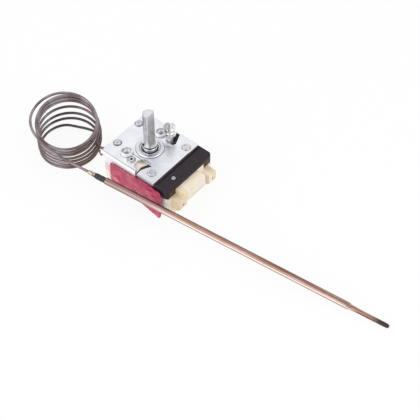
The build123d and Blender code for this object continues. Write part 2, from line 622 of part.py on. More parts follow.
def calibration_nut():
    return calibration_nut_shape(0) - disc(CAL_SHANK_R + RUNNING_GAP, -10, 5, *CALIBRATION_AT)


# Switch: blade, contacts, terminals. The blade rocks a little between boss and tab at its rivet.
def root_tab_top():
    return BLADE_TOP - BLADE_T - BLADE_PIVOT_GAP


def contact_spring():
    z0 = BLADE_TOP - BLADE_T
    outline = [
        (BLADE_X0, -BLADE_W / 2),
        (BLADE_X1 - 1.5, -BLADE_W / 2),
        (BLADE_X1, -BLADE_W / 4),
        (BLADE_X1, BLADE_W / 4),
        (BLADE_X1 - 1.5, BLADE_W / 2),
        (BLADE_X0, BLADE_W / 2),
    ]
    blade = prism(outline, z0, BLADE_TOP)
    blade -= slot((3.2, 0), (6.0, 0), 1.6, z0 - 1, BLADE_TOP + 1)
    return blade - disc(TERMINAL_RIVET_R + 0.02, z0 - 1, BLADE_TOP + 1, BLADE_ROOT_X, 0)


def moving_contact():
    body = disc(CONTACT_R, BLADE_TOP, BLADE_TOP + MOVING_CONTACT_H, CONTACT_X, 0)
    return chamfer(body.edges().group_by(Axis.Z)[-1], 0.3)


def fixed_contact():
    top = DECK_BOTTOM - TAB_T
    body = disc(CONTACT_R, top - FIXED_CONTACT_H, top, CONTACT_X, 0)
    return chamfer(body.edges().group_by(Axis.Z)[0], 0.2)


def terminal_strip(x, z_top, rivet_y):
    strip = block(x - TAB_W / 2, x + TAB_W / 2, -BLADE_W / 2, TAB_END_Y, z_top - TAB_T, z_top)
    ends = [e for e in strip.edges().filter_by(Axis.Z) if e.center().Y > TAB_END_Y - 0.1]
    strip = chamfer(ends, 1.2)
    strip -= disc(0.85, z_top - 2, z_top + 1, x, TAB_END_Y - 3.6)
    return strip - disc(TERMINAL_RIVET_R + 0.02, z_top - 2, z_top + 1, x, rivet_y)


def terminal_rivets():
    low = root_tab_top() - TAB_T
    h = TERMINAL_RIVET_HEAD_H
    first = disc(TERMINAL_RIVET_HEAD_R, low - h, low, BLADE_ROOT_X, 0)
    first += disc(TERMINAL_RIVET_R - 0.02, low - 0.01, DECK_BOTTOM + 0.6, BLADE_ROOT_X, 0)
    under = DECK_BOTTOM - TAB_T
    second = disc(TERMINAL_RIVET_HEAD_R, under - h, under, FIXED_TAB_X, FIXED_RIVET_Y)
    second += disc(TERMINAL_RIVET_R - 0.02, under - 0.01, DECK_BOTTOM + 1.2, FIXED_TAB_X, FIXED_RIVET_Y)
    return Compound(children=[first.solid(), second.solid()])


def bottom_cover():
    plate = cover_blank(COVER_GAP, FLOOR_Z)
    plate = fillet(plate.edges().filter_by(Axis.Z), 0.6)
    for x in cover_screw_xs():
        plate -= disc(COVER_SCREW_HEAD_R + 0.05, FLOOR_Z - 1, FLOOR_Z + 0.9, x, 0)
        plate -= disc(COVER_SCREW_R + 0.1, FLOOR_Z, FLOOR_Z + 5, x, 0)
    return plate


def bottom_cover_screws():
    screws = []
    for x in cover_screw_xs():
        head = disc(COVER_SCREW_HEAD_R, FLOOR_Z + 0.2, FLOOR_Z + 0.9, x, 0)
        groove = block(x - 3, x + 3, -0.3, 0.3, FLOOR_Z, FLOOR_Z + 0.5)
        shank = disc(COVER_SCREW_R, FLOOR_Z + 0.89, FLOOR_Z + COVER_SCREW_L - 0.2, x, 0)
        screws.append(head - groove + shank)
    return Compound(children=[s.solid() for s in screws])


# Bulb, sleeve and ferrule on one axis
def bulb_plane(back):
    dip, azimuth = math.radians(BULB_DIP), math.radians(BULB_AZIMUTH)
    along = Vector(
        math.cos(dip) * math.cos(azimuth),
        math.cos(dip) * math.sin(azimuth),
        -math.sin(dip),
    )
    tip = Vector(*BULB_TIP_XY, FLOOR_Z + TIP_R + 0.02)
    return Plane(origin=tip - along * back, z_dir=along)


def turned(profile, back):
    face = make_face(Polyline(*[(r, 0, z) for r, z in profile], close=True))
    return bulb_plane(back) * revolve(face, Axis.Z)


def sensing_bulb():
    end = BULB_L + NECK_L + TIP_L
    profile = [
        (0, 0),
        (BULB_R - 0.3, 0),
        (BULB_R, 0.3),
        (BULB_R, BULB_L - 1.5),
        (BULB_R - 0.1, BULB_L),
        (SHOULDER_R, BULB_L + 0.4),
        (TIP_R, BULB_L + NECK_L),
        (TIP_R, end - 0.7),
        (TIP_R - 0.5, end),
        (0, end),
    ]
    return turned(profile, end)


def bulb_sleeve():
    profile = [(0, 0), (SLEEVE_R - 0.2, 0), (SLEEVE_R, 0.2), (SLEEVE_R, SLEEVE_L), (0, SLEEVE_L)]
    return turned(profile, BULB_L + NECK_L + TIP_L + SLEEVE_L)


def tube_ferrule():
    profile = [
        (0, 0),
        (TUBE_R + 0.1, 0),
        (FERRULE_R, 2.0),
        (FERRULE_R, FERRULE_L),
        (0, FERRULE_L),
    ]
    return turned(profile, BULB_L + NECK_L + TIP_L + SLEEVE_L + FERRULE_L)


# Capillary: lead, coil and tail of one tube
def lead_route():
    middle = CAPSULE_TOP - CAPSULE_T / 2
    return [
        polar(CAPSULE_PIPE_END + 0.05, CAPSULE_PIPE_ANGLE, middle),
        polar(20.7, CAPSULE_PIPE_ANGLE, middle),
        Vector(-24.6, -11.4, -7.4),
        Vector(-29.8, -8.9, -9.7),
        Vector(-32.0, -3.6, -12.8),
        Vector(-35.0, 1.0, -15.6),
        Vector(-40.4, 3.4, -17.8),
        Vector(-46.2, 2.6, -18.7),
        Vector(-51.4, -0.3, -18.75),
    ]


def tail_route():
    back = BULB_L + NECK_L + TIP_L + SLEEVE_L + FERRULE_L
    return [
        Vector(-47.0, 3.9, 0.7),
        Vector(-55.0, 2.6, 0.9),
        Vector(-62.4, -2.2, 0.5),
        Vector(-65.6, -11.4, -0.3),
        Vector(-63.4, -21.4, -1.6),
        Vector(-56.2, -27.8, -2.8),
        Vector(-46.2, -29.9, -4.0),
        Vector(-36.0, -30.4, -4.9),
        bulb_plane(back + 9.6).origin,
        bulb_plane(back).origin,
    ]


def free_tube(name, route):
    radii = []
    for before, corner, after in zip(route, route[1:], route[2:]):
        half_turn = math.radians((corner - before).get_angle(after - corner)) / 2
        run = min((corner - before).length, (after - corner).length)
        radii.append(0.45 * run / math.tan(half_turn))
    print(name, "radii", [round(r, 1) for r in radii])
    path = FilletPolyline(*route, radius=radii)
    section = Plane(origin=path @ 0, z_dir=path % 0) * Circle(TUBE_R)
    tube = sweep(section, path=path)
    print(name, "volume ratio", round(tube.volume / (math.pi * TUBE_R**2 * path.length), 4))
    return tube


def filling_stub():
    start, end = Vector(*STUB_FROM), Vector(*STUB_TO)
    along = (end - start).normalized()
    side = Vector(0, 0, 1).cross(along).normalized()
    round_end = Plane(origin=start, x_dir=side, z_dir=along)
    pinch_at = Plane(origin=end - along * STUB_PINCH_L, x_dir=side, z_dir=along)
    pinched = Plane(origin=end, x_dir=side, z_dir=along)
    body = extrude(round_end * Circle(STUB_R), (end - start).length - STUB_PINCH_L)
    return body + loft([pinch_at * Circle(STUB_R), pinched * Ellipse(STUB_PINCH_W, STUB_PINCH_T)])


# The coil is one leaning cone shell, cut level with the surface below and tilted above.
def coil_shell(shrink):
    foot, head = Vector(*COIL_BOTTOM, FLOOR_Z), Vector(*COIL_TOP)
    lean = head - foot
    bottom_r, top_r = COIL_BOTTOM_R - shrink, COIL_TOP_R - shrink
    flare = (top_r - bottom_r) / lean.length
    below, above = 5.0, 8.0
    cone = Cone(bottom_r - flare * below, top_r + flare * above, lean.length + below + above)
    middle = foot + lean.normalized() * (lean.length + above - below) / 2
    return Plane(origin=middle, z_dir=lean.normalized()) * cone


def capillary_coil():
    shell = coil_shell(0) - coil_shell(COIL_WALL)
    side, tilt = math.radians(CAMERA_SIDE), math.radians(COIL_TOP_TILT)
    up = Vector(math.sin(tilt) * math.cos(side), math.sin(tilt) * math.sin(side), math.cos(tilt))
    shell = split(shell, bisect_by=Plane(origin=COIL_TOP, z_dir=up), keep=Keep.BOTTOM)
    return split(shell, bisect_by=Plane(origin=(0, 0, FLOOR_Z)), keep=Keep.TOP)


def main():
    parts = {
        "mounting_plate": mounting_plate(),
        "spindle": spindle(),
        "spindle_bush": spindle_bush(),
        "snap_ring": snap_ring(),
        "friction_washer": friction_washer(),
        "stop_disc": stop_disc(),
        "diaphragm_capsule": diaphragm_capsule(),
        "push_pin": push_pin(),
        "plate_gasket": plate_gasket(),
        "ceramic_housing": ceramic_housing(),
        "cover_bar": cover_bar(),
        "cover_bar_rivet": cover_bar_rivet(),
        "insulating_film": insulating_film(),
        "film_studs": film_studs(),
        "plate_rivets": plate_rivets(),
        "hollow_eyelet": hollow_eyelet(),
        "calibration_screw": calibration_screw(),
        "calibration_collar": calibration_collar(),
        "calibration_nut": calibration_nut(),
        "contact_spring": contact_spring(),
        "moving_contact": moving_contact(),
        "fixed_contact": fixed_contact(),
        "moving_terminal": terminal_strip(BLADE_ROOT_X, root_tab_top(), 0),
        "fixed_terminal": terminal_strip(FIXED_TAB_X, DECK_BOTTOM, FIXED_RIVET_Y),
        "terminal_rivets": terminal_rivets(),
        "bottom_cover": bottom_cover(),
        "bottom_cover_screws": bottom_cover_screws(),
        "sensing_bulb": sensing_bulb(),
        "bulb_sleeve": bulb_sleeve(),
        "tube_ferrule": tube_ferrule(),
        "capillary_lead": free_tube("capillary_lead", lead_route()),
        "filling_stub": filling_stub(),
        "capillary_coil": capillary_coil(),
        "capillary_tail": free_tube("capillary_tail", tail_route()),
    }
    os.makedirs("parts", exist_ok=True)
    for name, shape in parts.items():
        export_step(shape, f"parts/{name}.step")


main()
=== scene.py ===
import bpy
import numpy as np
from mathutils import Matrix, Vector


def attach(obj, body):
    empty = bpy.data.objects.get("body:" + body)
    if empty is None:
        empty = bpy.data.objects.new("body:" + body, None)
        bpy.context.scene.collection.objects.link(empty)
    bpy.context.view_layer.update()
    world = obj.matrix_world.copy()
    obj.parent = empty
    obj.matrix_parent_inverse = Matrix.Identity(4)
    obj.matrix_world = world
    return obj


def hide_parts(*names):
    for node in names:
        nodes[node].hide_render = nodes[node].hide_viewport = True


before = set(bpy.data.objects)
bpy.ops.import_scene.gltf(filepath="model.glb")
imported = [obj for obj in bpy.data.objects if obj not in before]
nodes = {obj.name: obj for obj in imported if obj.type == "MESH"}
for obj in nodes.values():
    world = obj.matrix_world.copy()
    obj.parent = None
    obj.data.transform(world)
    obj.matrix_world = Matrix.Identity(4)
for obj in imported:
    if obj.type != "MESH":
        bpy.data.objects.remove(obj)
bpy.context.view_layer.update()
mm = 0.001
print("frame loaded with", len(nodes), "nodes")


def crossAxes(along):
    # level to one side, then up, both square to the axis
    side = np.cross((0, 0, 1), along)
    side /= np.linalg.norm(side)
    return side, np.cross(along, side)


def wayTo(azimuth, elevation):
    # unit vector towards a viewer, whose azimuth runs from -Y towards +X
    a, e = np.radians((azimuth, elevation))
    return np.array((np.sin(a) * np.cos(e), -np.cos(a) * np.cos(e), np.sin(e)))


# camera where the photograph's stands: where it looks from, where it aims, and its lens, in degrees and mm
camera = {
    "azimuth": 39.8, "elevation": 50.5, "distance": 700, "aimRight": 30, "aimUp": -31,
    "lens": 120, "sensor": 36, "nearest": 50, "farthest": 20000,
}


def placeCamera(c):
    back = wayTo(c["azimuth"], c["elevation"])
    right, up = crossAxes(back)
    eye = c["distance"] * back + c["aimRight"] * right + c["aimUp"] * up
    data = bpy.data.cameras.new("viewCamera")
    data.lens = c["lens"]
    data.sensor_width = c["sensor"]
    data.clip_start = c["nearest"] * mm
    data.clip_end = c["farthest"] * mm
    cam = bpy.data.objects.new("viewCamera", data)
    bpy.context.collection.objects.link(cam)
    cam.location = Vector(eye * mm)
    cam.rotation_mode = "QUATERNION"
    cam.rotation_quaternion = (-Vector(back)).to_track_quat("-Z", "Y")
    bpy.context.scene.camera = cam


placeCamera(camera)
print("camera placed")


# the capillary is one cord: lead out of the housing, seven turns, then the tail to the bulb
capillary = {
    "diameter": 1.4,
    "lead": (
        (-12.52, -6.38, -6.35), (-18.44, -9.4, -6.35), (-24.6, -11.4, -7.4), (-29.8, -8.9, -9.7),
        (-32.0, -3.6, -12.8), (-34.4, 0.2, -15.6), (-39.4, 2.2, -17.7), (-45.0, 1.8, -18.65),
        (-51.0, -0.8, -18.75),
    ),
    "tail": (
        (-47.0, 3.9, 0.7), (-55.0, 2.6, 0.9), (-62.4, -2.2, 0.5), (-65.6, -11.4, -0.3), (-63.4, -21.4, -1.6),
        (-56.2, -27.8, -2.8), (-46.2, -29.9, -4.0), (-36.0, -30.4, -4.9),
    ),
    "straight": 9.6,  # last run, in line with the bulb
    "pointsPerTurn": 14,
    "farSide": 129.8,  # degrees from X at which the turn number is whole
    "backHeights": (-18.7, -15.2, -11.8, -7.4, -3.2, -0.9, 1.0),  # each turn's height at its far side
    "frontHeights": (-18.8, -16.4, -14.3, -12.6, -10.6, -8.8, -6.5),  # and half a turn on, nearest the camera
    "endLift": 0.2,  # the last turn's end above the tail's start
    "radii": (14.9, 15.8, 16.1, 16.1, 15.9, 15.5, 15.5),
    "centreX": (-44.9, -44.9, -44.9, -45.3, -45.8, -46.2, -46.2),
    "centreY": (-13.1, -12.6, -12.3, -12.0, -12.0, -12.2, -12.2),
}
# the sensing bulb lies along one axis, with its sleeve and ferrule behind it
bulb = {
    "azimuth": 9.11, "dip": 4.07, "tipX": 148.5, "tipY": -0.9, "floorZ": -19.5, "clearance": 0.02,
    "radius": 1.75, "length": 136.8, "neck": 6.4, "shoulder": 1.4, "tipRadius": 1.15, "tipLength": 14.7,
    "around": 40, "ringStep": 1.6, "waver": 0.012,
    "sleeve": 6.0, "sleeveRadius": 1.51, "sleeveRings": 25,
    "ferrule": 4.5,
    "ferruleProfile": (
        (0.76, 0), (0.82, 0.15), (0.9, 0.5), (1.02, 1.0), (1.14, 1.5), (1.22, 2.0), (1.25, 2.2),
        (1.25, 2.4), (1.22, 3.0), (1.22, 3.8), (1.25, 4.2), (1.24, 4.4), (1.15, 4.5),
    ),
}
# how far behind the tip the bulb, the sleeve and the ferrule start
bulbBack = bulb["length"] + bulb["neck"] + bulb["tipLength"]
sleeveBack = bulbBack + bulb["sleeve"]
ferruleBack = sleeveBack + bulb["ferrule"]


def bulbAxis(b):
    dip, azimuth = np.radians((b["dip"], b["azimuth"]))
    along = np.array((np.cos(dip) * np.cos(azimuth), np.cos(dip) * np.sin(azimuth), -np.sin(dip)))
    tip = np.array((b["tipX"], b["tipY"], b["floorZ"] + b["tipRadius"] + b["clearance"]))
    return tip, along


def coilPoints(c):
    # a circle whose centre and radius drift with the turn number k, while its height goes from each far side
    # to the next near side and back along half cosine waves
    def bearing(point, turn):
        return np.degrees(np.arctan2(point[1] - c["centreY"][turn], point[0] - c["centreX"][turn]))

    first, last = bearing(c["lead"][-1], 0), bearing(c["tail"][0], -1)
    turns = len(c["radii"])
    total = last - first + 360 * turns
    steps = round(total / 360 * c["pointsPerTurn"])
    angle = first + total * np.arange(1, steps) / steps
    k = (angle - c["farSide"]) / 360
    number = np.arange(turns)
    within = 0.75 + 0.25 * np.cos(2 * np.pi / c["pointsPerTurn"])  # the spline runs inside its points
    r = np.interp(k, number, c["radii"]) / within
    halfTurns = np.arange(2 * turns + 1) / 2
    heights = np.ravel(np.column_stack((c["backHeights"], c["frontHeights"])))
    heights = np.append(heights, c["tail"][0][2] + c["endLift"])
    step = np.clip(np.searchsorted(halfTurns, k, side="right") - 1, 0, 2 * turns - 1)
    part = np.clip((k - halfTurns[step]) / (halfTurns[step + 1] - halfTurns[step]), 0, 1)
    ease = (1 - np.cos(np.pi * part)) / 2
    z = heights[step] + (heights[step + 1] - heights[step]) * ease
    a = np.radians(angle)
    x = np.interp(k, number, c["centreX"]) + r * np.cos(a)
    y = np.interp(k, number, c["centreY"]) + r * np.sin(a)
    return np.column_stack((x, y, z))


def makeCapillary(c, b):
    tip, along = bulbAxis(b)
    end = np.array((tip - along * (ferruleBack + c["straight"]), tip - along * ferruleBack))
    points = np.vstack((c["lead"], coilPoints(c), c["tail"], end)) * mm
    data = bpy.data.curves.new("capillaryTube", "CURVE")
    data.dimensions = "3D"
    spline = data.splines.new("NURBS")
    spline.points.add(len(points) - 1)
    spline.points.foreach_set("co", np.column_stack((points, np.ones(len(points)))).ravel())
    spline.order_u = 3
    spline.use_endpoint_u = True
    spline.resolution_u = 5
    # half the diameter is in each point's radius, which the curve's box counts too
    spline.points.foreach_set("radius", np.full(len(points), c["diameter"] / 2 * mm))
    data.bevel_depth = 1.0
    data.bevel_resolution = 5
    data.use_fill_caps = True
    tube = bpy.data.objects.new("capillaryTube", data)
    bpy.context.collection.objects.link(tube)
    length = np.linalg.norm(np.diff(points, axis=0), axis=1).sum()
    print("capillary control points", len(points), "polygon length", round(float(length), 4))
    return tube, points


tube, tubePoints = makeCapillary(capillary, bulb)
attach(tube, "frame")
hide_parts("capillary_lead", "capillary_coil", "capillary_tail")


# surfaces worked out on grids
def circle(count):
    # angles of count points round a full turn
    return np.arange(count) * 2 * np.pi / count


def gridPiece(name, grid, form, replaced, sharp=None):
    # grid holds rows of points in mm. A sheet is open, a rod has ring rows and closed ends, and a ring's last
    # row meets its first. Edges that turn by more than sharp, in radians, aren't smoothed
    rows, columns = grid.shape[:2]
    down = rows if form == "ring" else rows - 1
    across = columns - 1 if form == "sheet" else columns
    r, c = np.meshgrid(np.arange(down), np.arange(across), indexing="ij")
    here, below = r * columns, (r + 1) % rows * columns
    right = (c + 1) % columns
    quads = np.stack((here + c, here + right, below + right, below + c), axis=-1)
    points = grid.reshape(-1, 3)
    faces = quads.reshape(-1, 4).tolist()
    if form == "rod":
        ring = np.arange(columns)
        following = (ring + 1) % columns
        last = (rows - 1) * columns
        points = np.vstack((points, grid[0].mean(axis=0), grid[-1].mean(axis=0)))
        foot, head = len(points) - 2, len(points) - 1
        faces += np.column_stack((following, ring, np.full(columns, foot))).tolist()
        faces += np.column_stack((last + ring, last + following, np.full(columns, head))).tolist()
    mesh = bpy.data.meshes.new(name)
    mesh.from_pydata((points * mm).tolist(), [], faces)
    mesh.shade_smooth()
    if sharp:
        mesh.set_sharp_from_angle(angle=sharp)
    piece = bpy.data.objects.new(name, mesh)
    bpy.context.collection.objects.link(piece)
    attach(piece, "frame")
    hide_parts(*replaced)
    return piece


def turned(b, profile, back):
    # profile rows are (radius, distance from the start), carried round the bulb's axis from a start that
    # lies back mm behind the tip
    tip, along = bulbAxis(b)
    side, up = crossAxes(along)
    radius, distance = np.array(profile).T
    angle = circle(b["around"])
    ring = np.cos(angle)[:, None] * side + np.sin(angle)[:, None] * up
    middle = tip + (distance[:, None] - back) * along
    return middle[:, None, :] + radius[:, None, None] * ring[None, :, :]


def makeBulb(b):
    # a rounded back edge, the straight barrel, the drawn neck and the plain tip, as (radius, distance)
    barrel, tip = b["radius"], b["tipRadius"]
    corners = (
        (barrel - 0.35, 0), (barrel - 0.08, 0.1), (barrel, 0.4), (barrel, b["length"] - 1.6),
        (barrel - 0.1, b["length"]), (b["shoulder"], b["length"] + 0.5), (tip, b["length"] + b["neck"]),
        (tip, bulbBack - 2.6), (tip - 0.12, bulbBack - 0.8), (tip - 0.5, bulbBack),
    )
    radius, distance = np.array(corners).T
    s = np.unique(np.concatenate((distance, np.arange(1, bulbBack - 1, b["ringStep"]))))
    # drawn tube: away from its ends the radius wavers by a hundredth of a millimetre, as two sines multiplied
    waver = b["waver"] * np.sin(s * 0.61) * np.sin(s * 0.17 + 1)
    r = np.interp(s, distance, radius) + waver * (s > 2) * (s < bulbBack - 2)
    grid = turned(b, np.column_stack((r, s)), bulbBack)
    return gridPiece("drawnBulb", grid, "rod", ["sensing_bulb"])


def makeSleeve(b):
    # shrunk sleeve: its radius falls off towards the ferrule, where it starts, and ripples softly along it
    s = np.linspace(0, b["sleeve"], b["sleeveRings"])
    r = b["sleeveRadius"] - 0.22 * np.exp(-s / 0.5) - 0.05 * np.cos(s * 2.4)
    grid = turned(b, np.column_stack((r, s)), sleeveBack)
    return gridPiece("shrunkSleeve", grid, "rod", ["bulb_sleeve"])


def makeFerrule(b):
    # brazed cone, then a short plain collar with a rolled edge: the profile carried round the axis
    grid = turned(b, b["ferruleProfile"], ferruleBack)
    return gridPiece("brazedFerrule", grid, "rod", ["tube_ferrule"])


drawnBulb = makeBulb(bulb)
shrunkSleeve = makeSleeve(bulb)
brazedFerrule = makeFerrule(bulb)
print("capillary, bulb, sleeve and ferrule made")


# bush: flange under the plate, a shoulder that fills its hole, and a slimmer neck with a groove at its foot
bush = {
    "profile": (
        (6.4, -2.6), (6.4, -1.25), (6.35, -1.2), (4.6, -1.2), (4.6, 0.25), (4.5, 0.35), (4.15, 0.35),
        (4.05, 0.3), (3.95, 0.15), (3.84, 0.15), (3.84, 0.3), (3.9, 0.5), (3.9, 2.3), (3.82, 2.5),
        (3.6, 2.72), (3.3, 2.78), (3.1, 2.72), (3.06, 2.66), (3.06, -2.6),
    ),
    "around": 96, "sharp": 0.6,
}


def makeBush(b):
    # the profile, rows of (radius, height), goes up the outside, in over the top and down the bore, carried
    # round the upright axis
    radius, height = np.array(b["profile"]).T
    angle = circle(b["around"])
    x, y = radius[:, None] * np.cos(angle), radius[:, None] * np.sin(angle)
    z = np.broadcast_to(height[:, None], x.shape)
    grid = np.stack((x, y, z), axis=-1)
    return gridPiece("turnedBush", grid, "ring", ["spindle_bush"], b["sharp"])


turnedBush = makeBush(bush)
print("bush made")


# insulating washer over the chamber, seen through the plate's window, between two angles from X
washer = {
    "inner": 6.5, "outer": 10.05, "low": -1.75, "high": -1.56, "from": -112.0, "to": -22.0,
    "around": 60, "sharp": 0.6,
}


def makeWasher(w):
    # a rectangle (radius, height) carried along the arc
    angle = np.radians(np.linspace(w["from"], w["to"], w["around"]))
    radius = np.array((w["inner"], w["inner"], w["outer"], w["outer"]))
    height = np.array((w["low"], w["high"], w["high"], w["low"]))
    x, y = np.cos(angle)[:, None] * radius, np.sin(angle)[:, None] * radius
    z = np.broadcast_to(height, x.shape)
    grid = np.stack((x, y, z), axis=-1)
    return gridPiece("windowWasher", grid, "rod", [], w["sharp"])


windowWasher = makeWasher(washer)
print("washer made")


# tapped threads of the two fixing holes
thread = {
    "spots": ((-6.9, -9.6), (-2.4, 11.2)), "outer": 1.63, "root": 1.5, "crest": 1.3, "pitch": 0.7,
    "low": -2.4, "high": 0.62, "around": 48, "rows": 53, "sharp": 0.8,
}


def makeThread(t, number, spot):
    # a helix: the bore's radius is (root + crest) / 2 + (root - crest) / 2 * cos(2 pi z / pitch - angle),
    # inside a plain outer wall
    angle = circle(t["around"])
    height = np.linspace(t["high"], t["low"], t["rows"])[:, None]
    wave = np.cos(2 * np.pi * height / t["pitch"] - angle)
    bore = (t["root"] + t["crest"]) / 2 + (t["root"] - t["crest"]) / 2 * wave
    level = np.ones((1, t["around"]))
    radius = np.vstack((t["outer"] * level, t["outer"] * level, bore))
    z = np.vstack((t["low"] * level, t["high"] * level, np.broadcast_to(height, bore.shape)))
    x, y = spot[0] + radius * np.cos(angle), spot[1] + radius * np.sin(angle)
    grid = np.stack((x, y, z), axis=-1)
    return gridPiece(f"tappedThread{number}", grid, "ring", [], t["sharp"])


tappedThreads = [makeThread(thread, number, spot) for number, spot in enumerate(thread["spots"], 1)]
print("threads made")


# red film: a thin sheet held by two studs, bowed between them and sprung out along its lower edge
film = {
    "topLeft": (-10.3, -2.1), "topRight": (22.8, -1.2), "lowRight": (23.2, -19.3), "lowLeft": (-10.8, -15.4),
    "corner": 1.0, "y": -18.3, "thickness": 0.25, "flareFrom": -15.2, "flareTo": -19.5, "flare": 1.3,
    "bow": 0.3, "studs": ((-6.7, -12.4), (13.5, -14.6)), "studHold": 3, "across": 120, "down": 64,
}


def makeFilm(f):
    # s runs from left to right and t from top to bottom, straight from edge to edge
    s = np.linspace(0, 1, f["across"])[None, :]
    t = np.linspace(0, 1, f["down"])[:, None]
    left = np.array(f["topLeft"]) * (1 - t) + np.array(f["lowLeft"]) * t
    right = np.array(f["topRight"]) * (1 - t) + np.array(f["lowRight"]) * t
    # corners: each row is drawn in at its ends by a quarter circle's shortfall
    reach = np.minimum(t, 1 - t) * (f["topLeft"][1] - f["lowLeft"][1])
    near = np.clip(f["corner"] - reach, 0, None)
    inset = f["corner"] - np.sqrt(f["corner"] ** 2 - near ** 2)
    x = (left[:, :1] + inset) * (1 - s) + (right[:, :1] - inset) * s
    z = left[:, 1:] * (1 - s) + right[:, 1:] * s
    # bow: slow waves that die away at the studs, then a smooth kick outwards below the flare line
    still = np.ones_like(x)
    for sx, sz in f["studs"]:
        still *= 1 - np.exp(-((x - sx) ** 2 + (z - sz) ** 2) / f["studHold"] ** 2)
    wave = np.sin(x * 0.33 + 0.6) * np.cos(z * 0.31) + 0.4 * np.sin(x * 0.71 + z * 0.5)
    kick = np.clip((f["flareFrom"] - z) / (f["flareFrom"] - f["flareTo"]), 0, 1)
    y = f["y"] - f["bow"] * still * (wave + 0.5) * 0.5 - f["flare"] * kick ** 1.6
    piece = gridPiece("redFilm", np.stack((x, y, z), axis=-1), "sheet", ["insulating_film"])
    wall = piece.modifiers.new("wall", "SOLIDIFY")
    wall.thickness = f["thickness"] * mm
    wall.offset = 0
    return piece


redFilm = makeFilm(film)
print("film made")


# shader nodes: an output socket takes part in sums, and each sum adds its Math node
class Term:
    def __init__(self, shader, socket):
        self.shader, self.socket = shader, socket

    def __add__(self, other):
        return self.shader.maths("ADD", self, other)

    def __sub__(self, other):
        return self.shader.maths("SUBTRACT", self, other)

    def __rsub__(self, other):
        return self.shader.maths("SUBTRACT", other, self)

    def __mul__(self, other):
        return self.shader.maths("MULTIPLY", self, other)

    __radd__, __rmul__ = __add__, __mul__


class Shader:
    def __init__(self, owner):
        owner.use_nodes = True
        self.owner, self.tree = owner, owner.node_tree
        self.tree.nodes.clear()

    # every node: its type, then its settings, then what its sockets hold or are linked to
    def node(self, kind, settings=(), sockets=(), output=0):
        made = self.tree.nodes.new("ShaderNode" + kind)
        for name, value in dict(settings).items():
            setattr(made, name, value)
        for name, value in dict(sockets).items():
            if isinstance(value, Term):
                self.tree.links.new(value.socket, made.inputs[name])
            else:
                made.inputs[name].default_value = value
        return Term(self, made.outputs[output]) if made.outputs else None

    def maths(self, operation, first, second=0.0):
        return self.node("Math", {"operation": operation}, {0: first, 1: second})

    # a palette's colours laid over its first one in turn, each as far as its mask says
    def coats(self, palette, first, *layers):
        colour = screen(*palette[first])
        for name, amount in layers:
            sockets = {0: amount, 6: colour, 7: screen(*palette[name])}
            colour = self.node("Mix", {"data_type": "RGBA"}, sockets, 2)
        return colour

    # 0 before the first value and 1 after the second, with a smooth rise between
    def rise(self, value, start, end):
        sockets = {"Value": value, "From Min": start, "From Max": end}
        return self.node("MapRange", {"interpolation_type": "SMOOTHSTEP"}, sockets)

    # 1 between low and high, with a smooth rise and fall centred on them, soft to each side
    def band(self, value, low, high, soft):
        return self.rise(value, low - soft, low + soft) * (1 - self.rise(value, high - soft, high + soft))

    # the piece's own place in millimetres
    def place(self):
        spot = self.node("TexCoord", output="Object")
        return self.node("VectorMath", {"operation": "SCALE"}, {0: spot, "Scale": 1 / mm})

    def axes(self, letters="XYZ"):
        return [self.node("SeparateXYZ", (), {0: self.place()}, letter) for letter in letters]

    def stretched(self, factors):
        return self.node("VectorMath", {"operation": "MULTIPLY"}, {0: self.place(), 1: factors})

    # distance from an upright line
    def fromLine(self, x, y, centre):
        dx, dy = x - centre[0], y - centre[1]
        return self.maths("SQRT", dx * dx + dy * dy)

    # how far along a level way a place lies from start; the way is turned so many degrees from X
    def along(self, x, y, start, degrees):
        turn = np.radians(degrees)
        return (x - start[0]) * float(np.cos(turn)) + (y - start[1]) * float(np.sin(turn))

    def noise(self, scale, detail, vector=None, rough=0.5):
        sockets = {"Vector": vector or self.place(), "Scale": scale, "Detail": detail, "Roughness": rough}
        return self.node("TexNoise", (), sockets)

    def bump(self, height, distance):
        return self.node("Bump", (), {"Height": height, "Distance": distance * mm, "Strength": 1.0})

    def dress(self, pieces, look):
        surface = self.node("BsdfPrincipled", (), look)
        self.node("OutputMaterial", (), {"Surface": surface})
        for piece in pieces:
            if not piece.material_slots:
                piece.data.materials.append(self.owner)
            for slot in piece.material_slots:
                slot.material = self.owner


def shade(name):
    return Shader(bpy.data.materials.new(name))


def screen(r, g, b):
    # a screen colour, 0 to 255, as the shaders' linear one
    c = np.array((r, g, b)) / 255
    value = np.where(c > 0.04045, ((c + 0.055) / 1.055) ** 2.4, c / 12.92)
    return (*(float(v) for v in value), 1.0)


def cad(*names):
    return [nodes[n] for n in names]


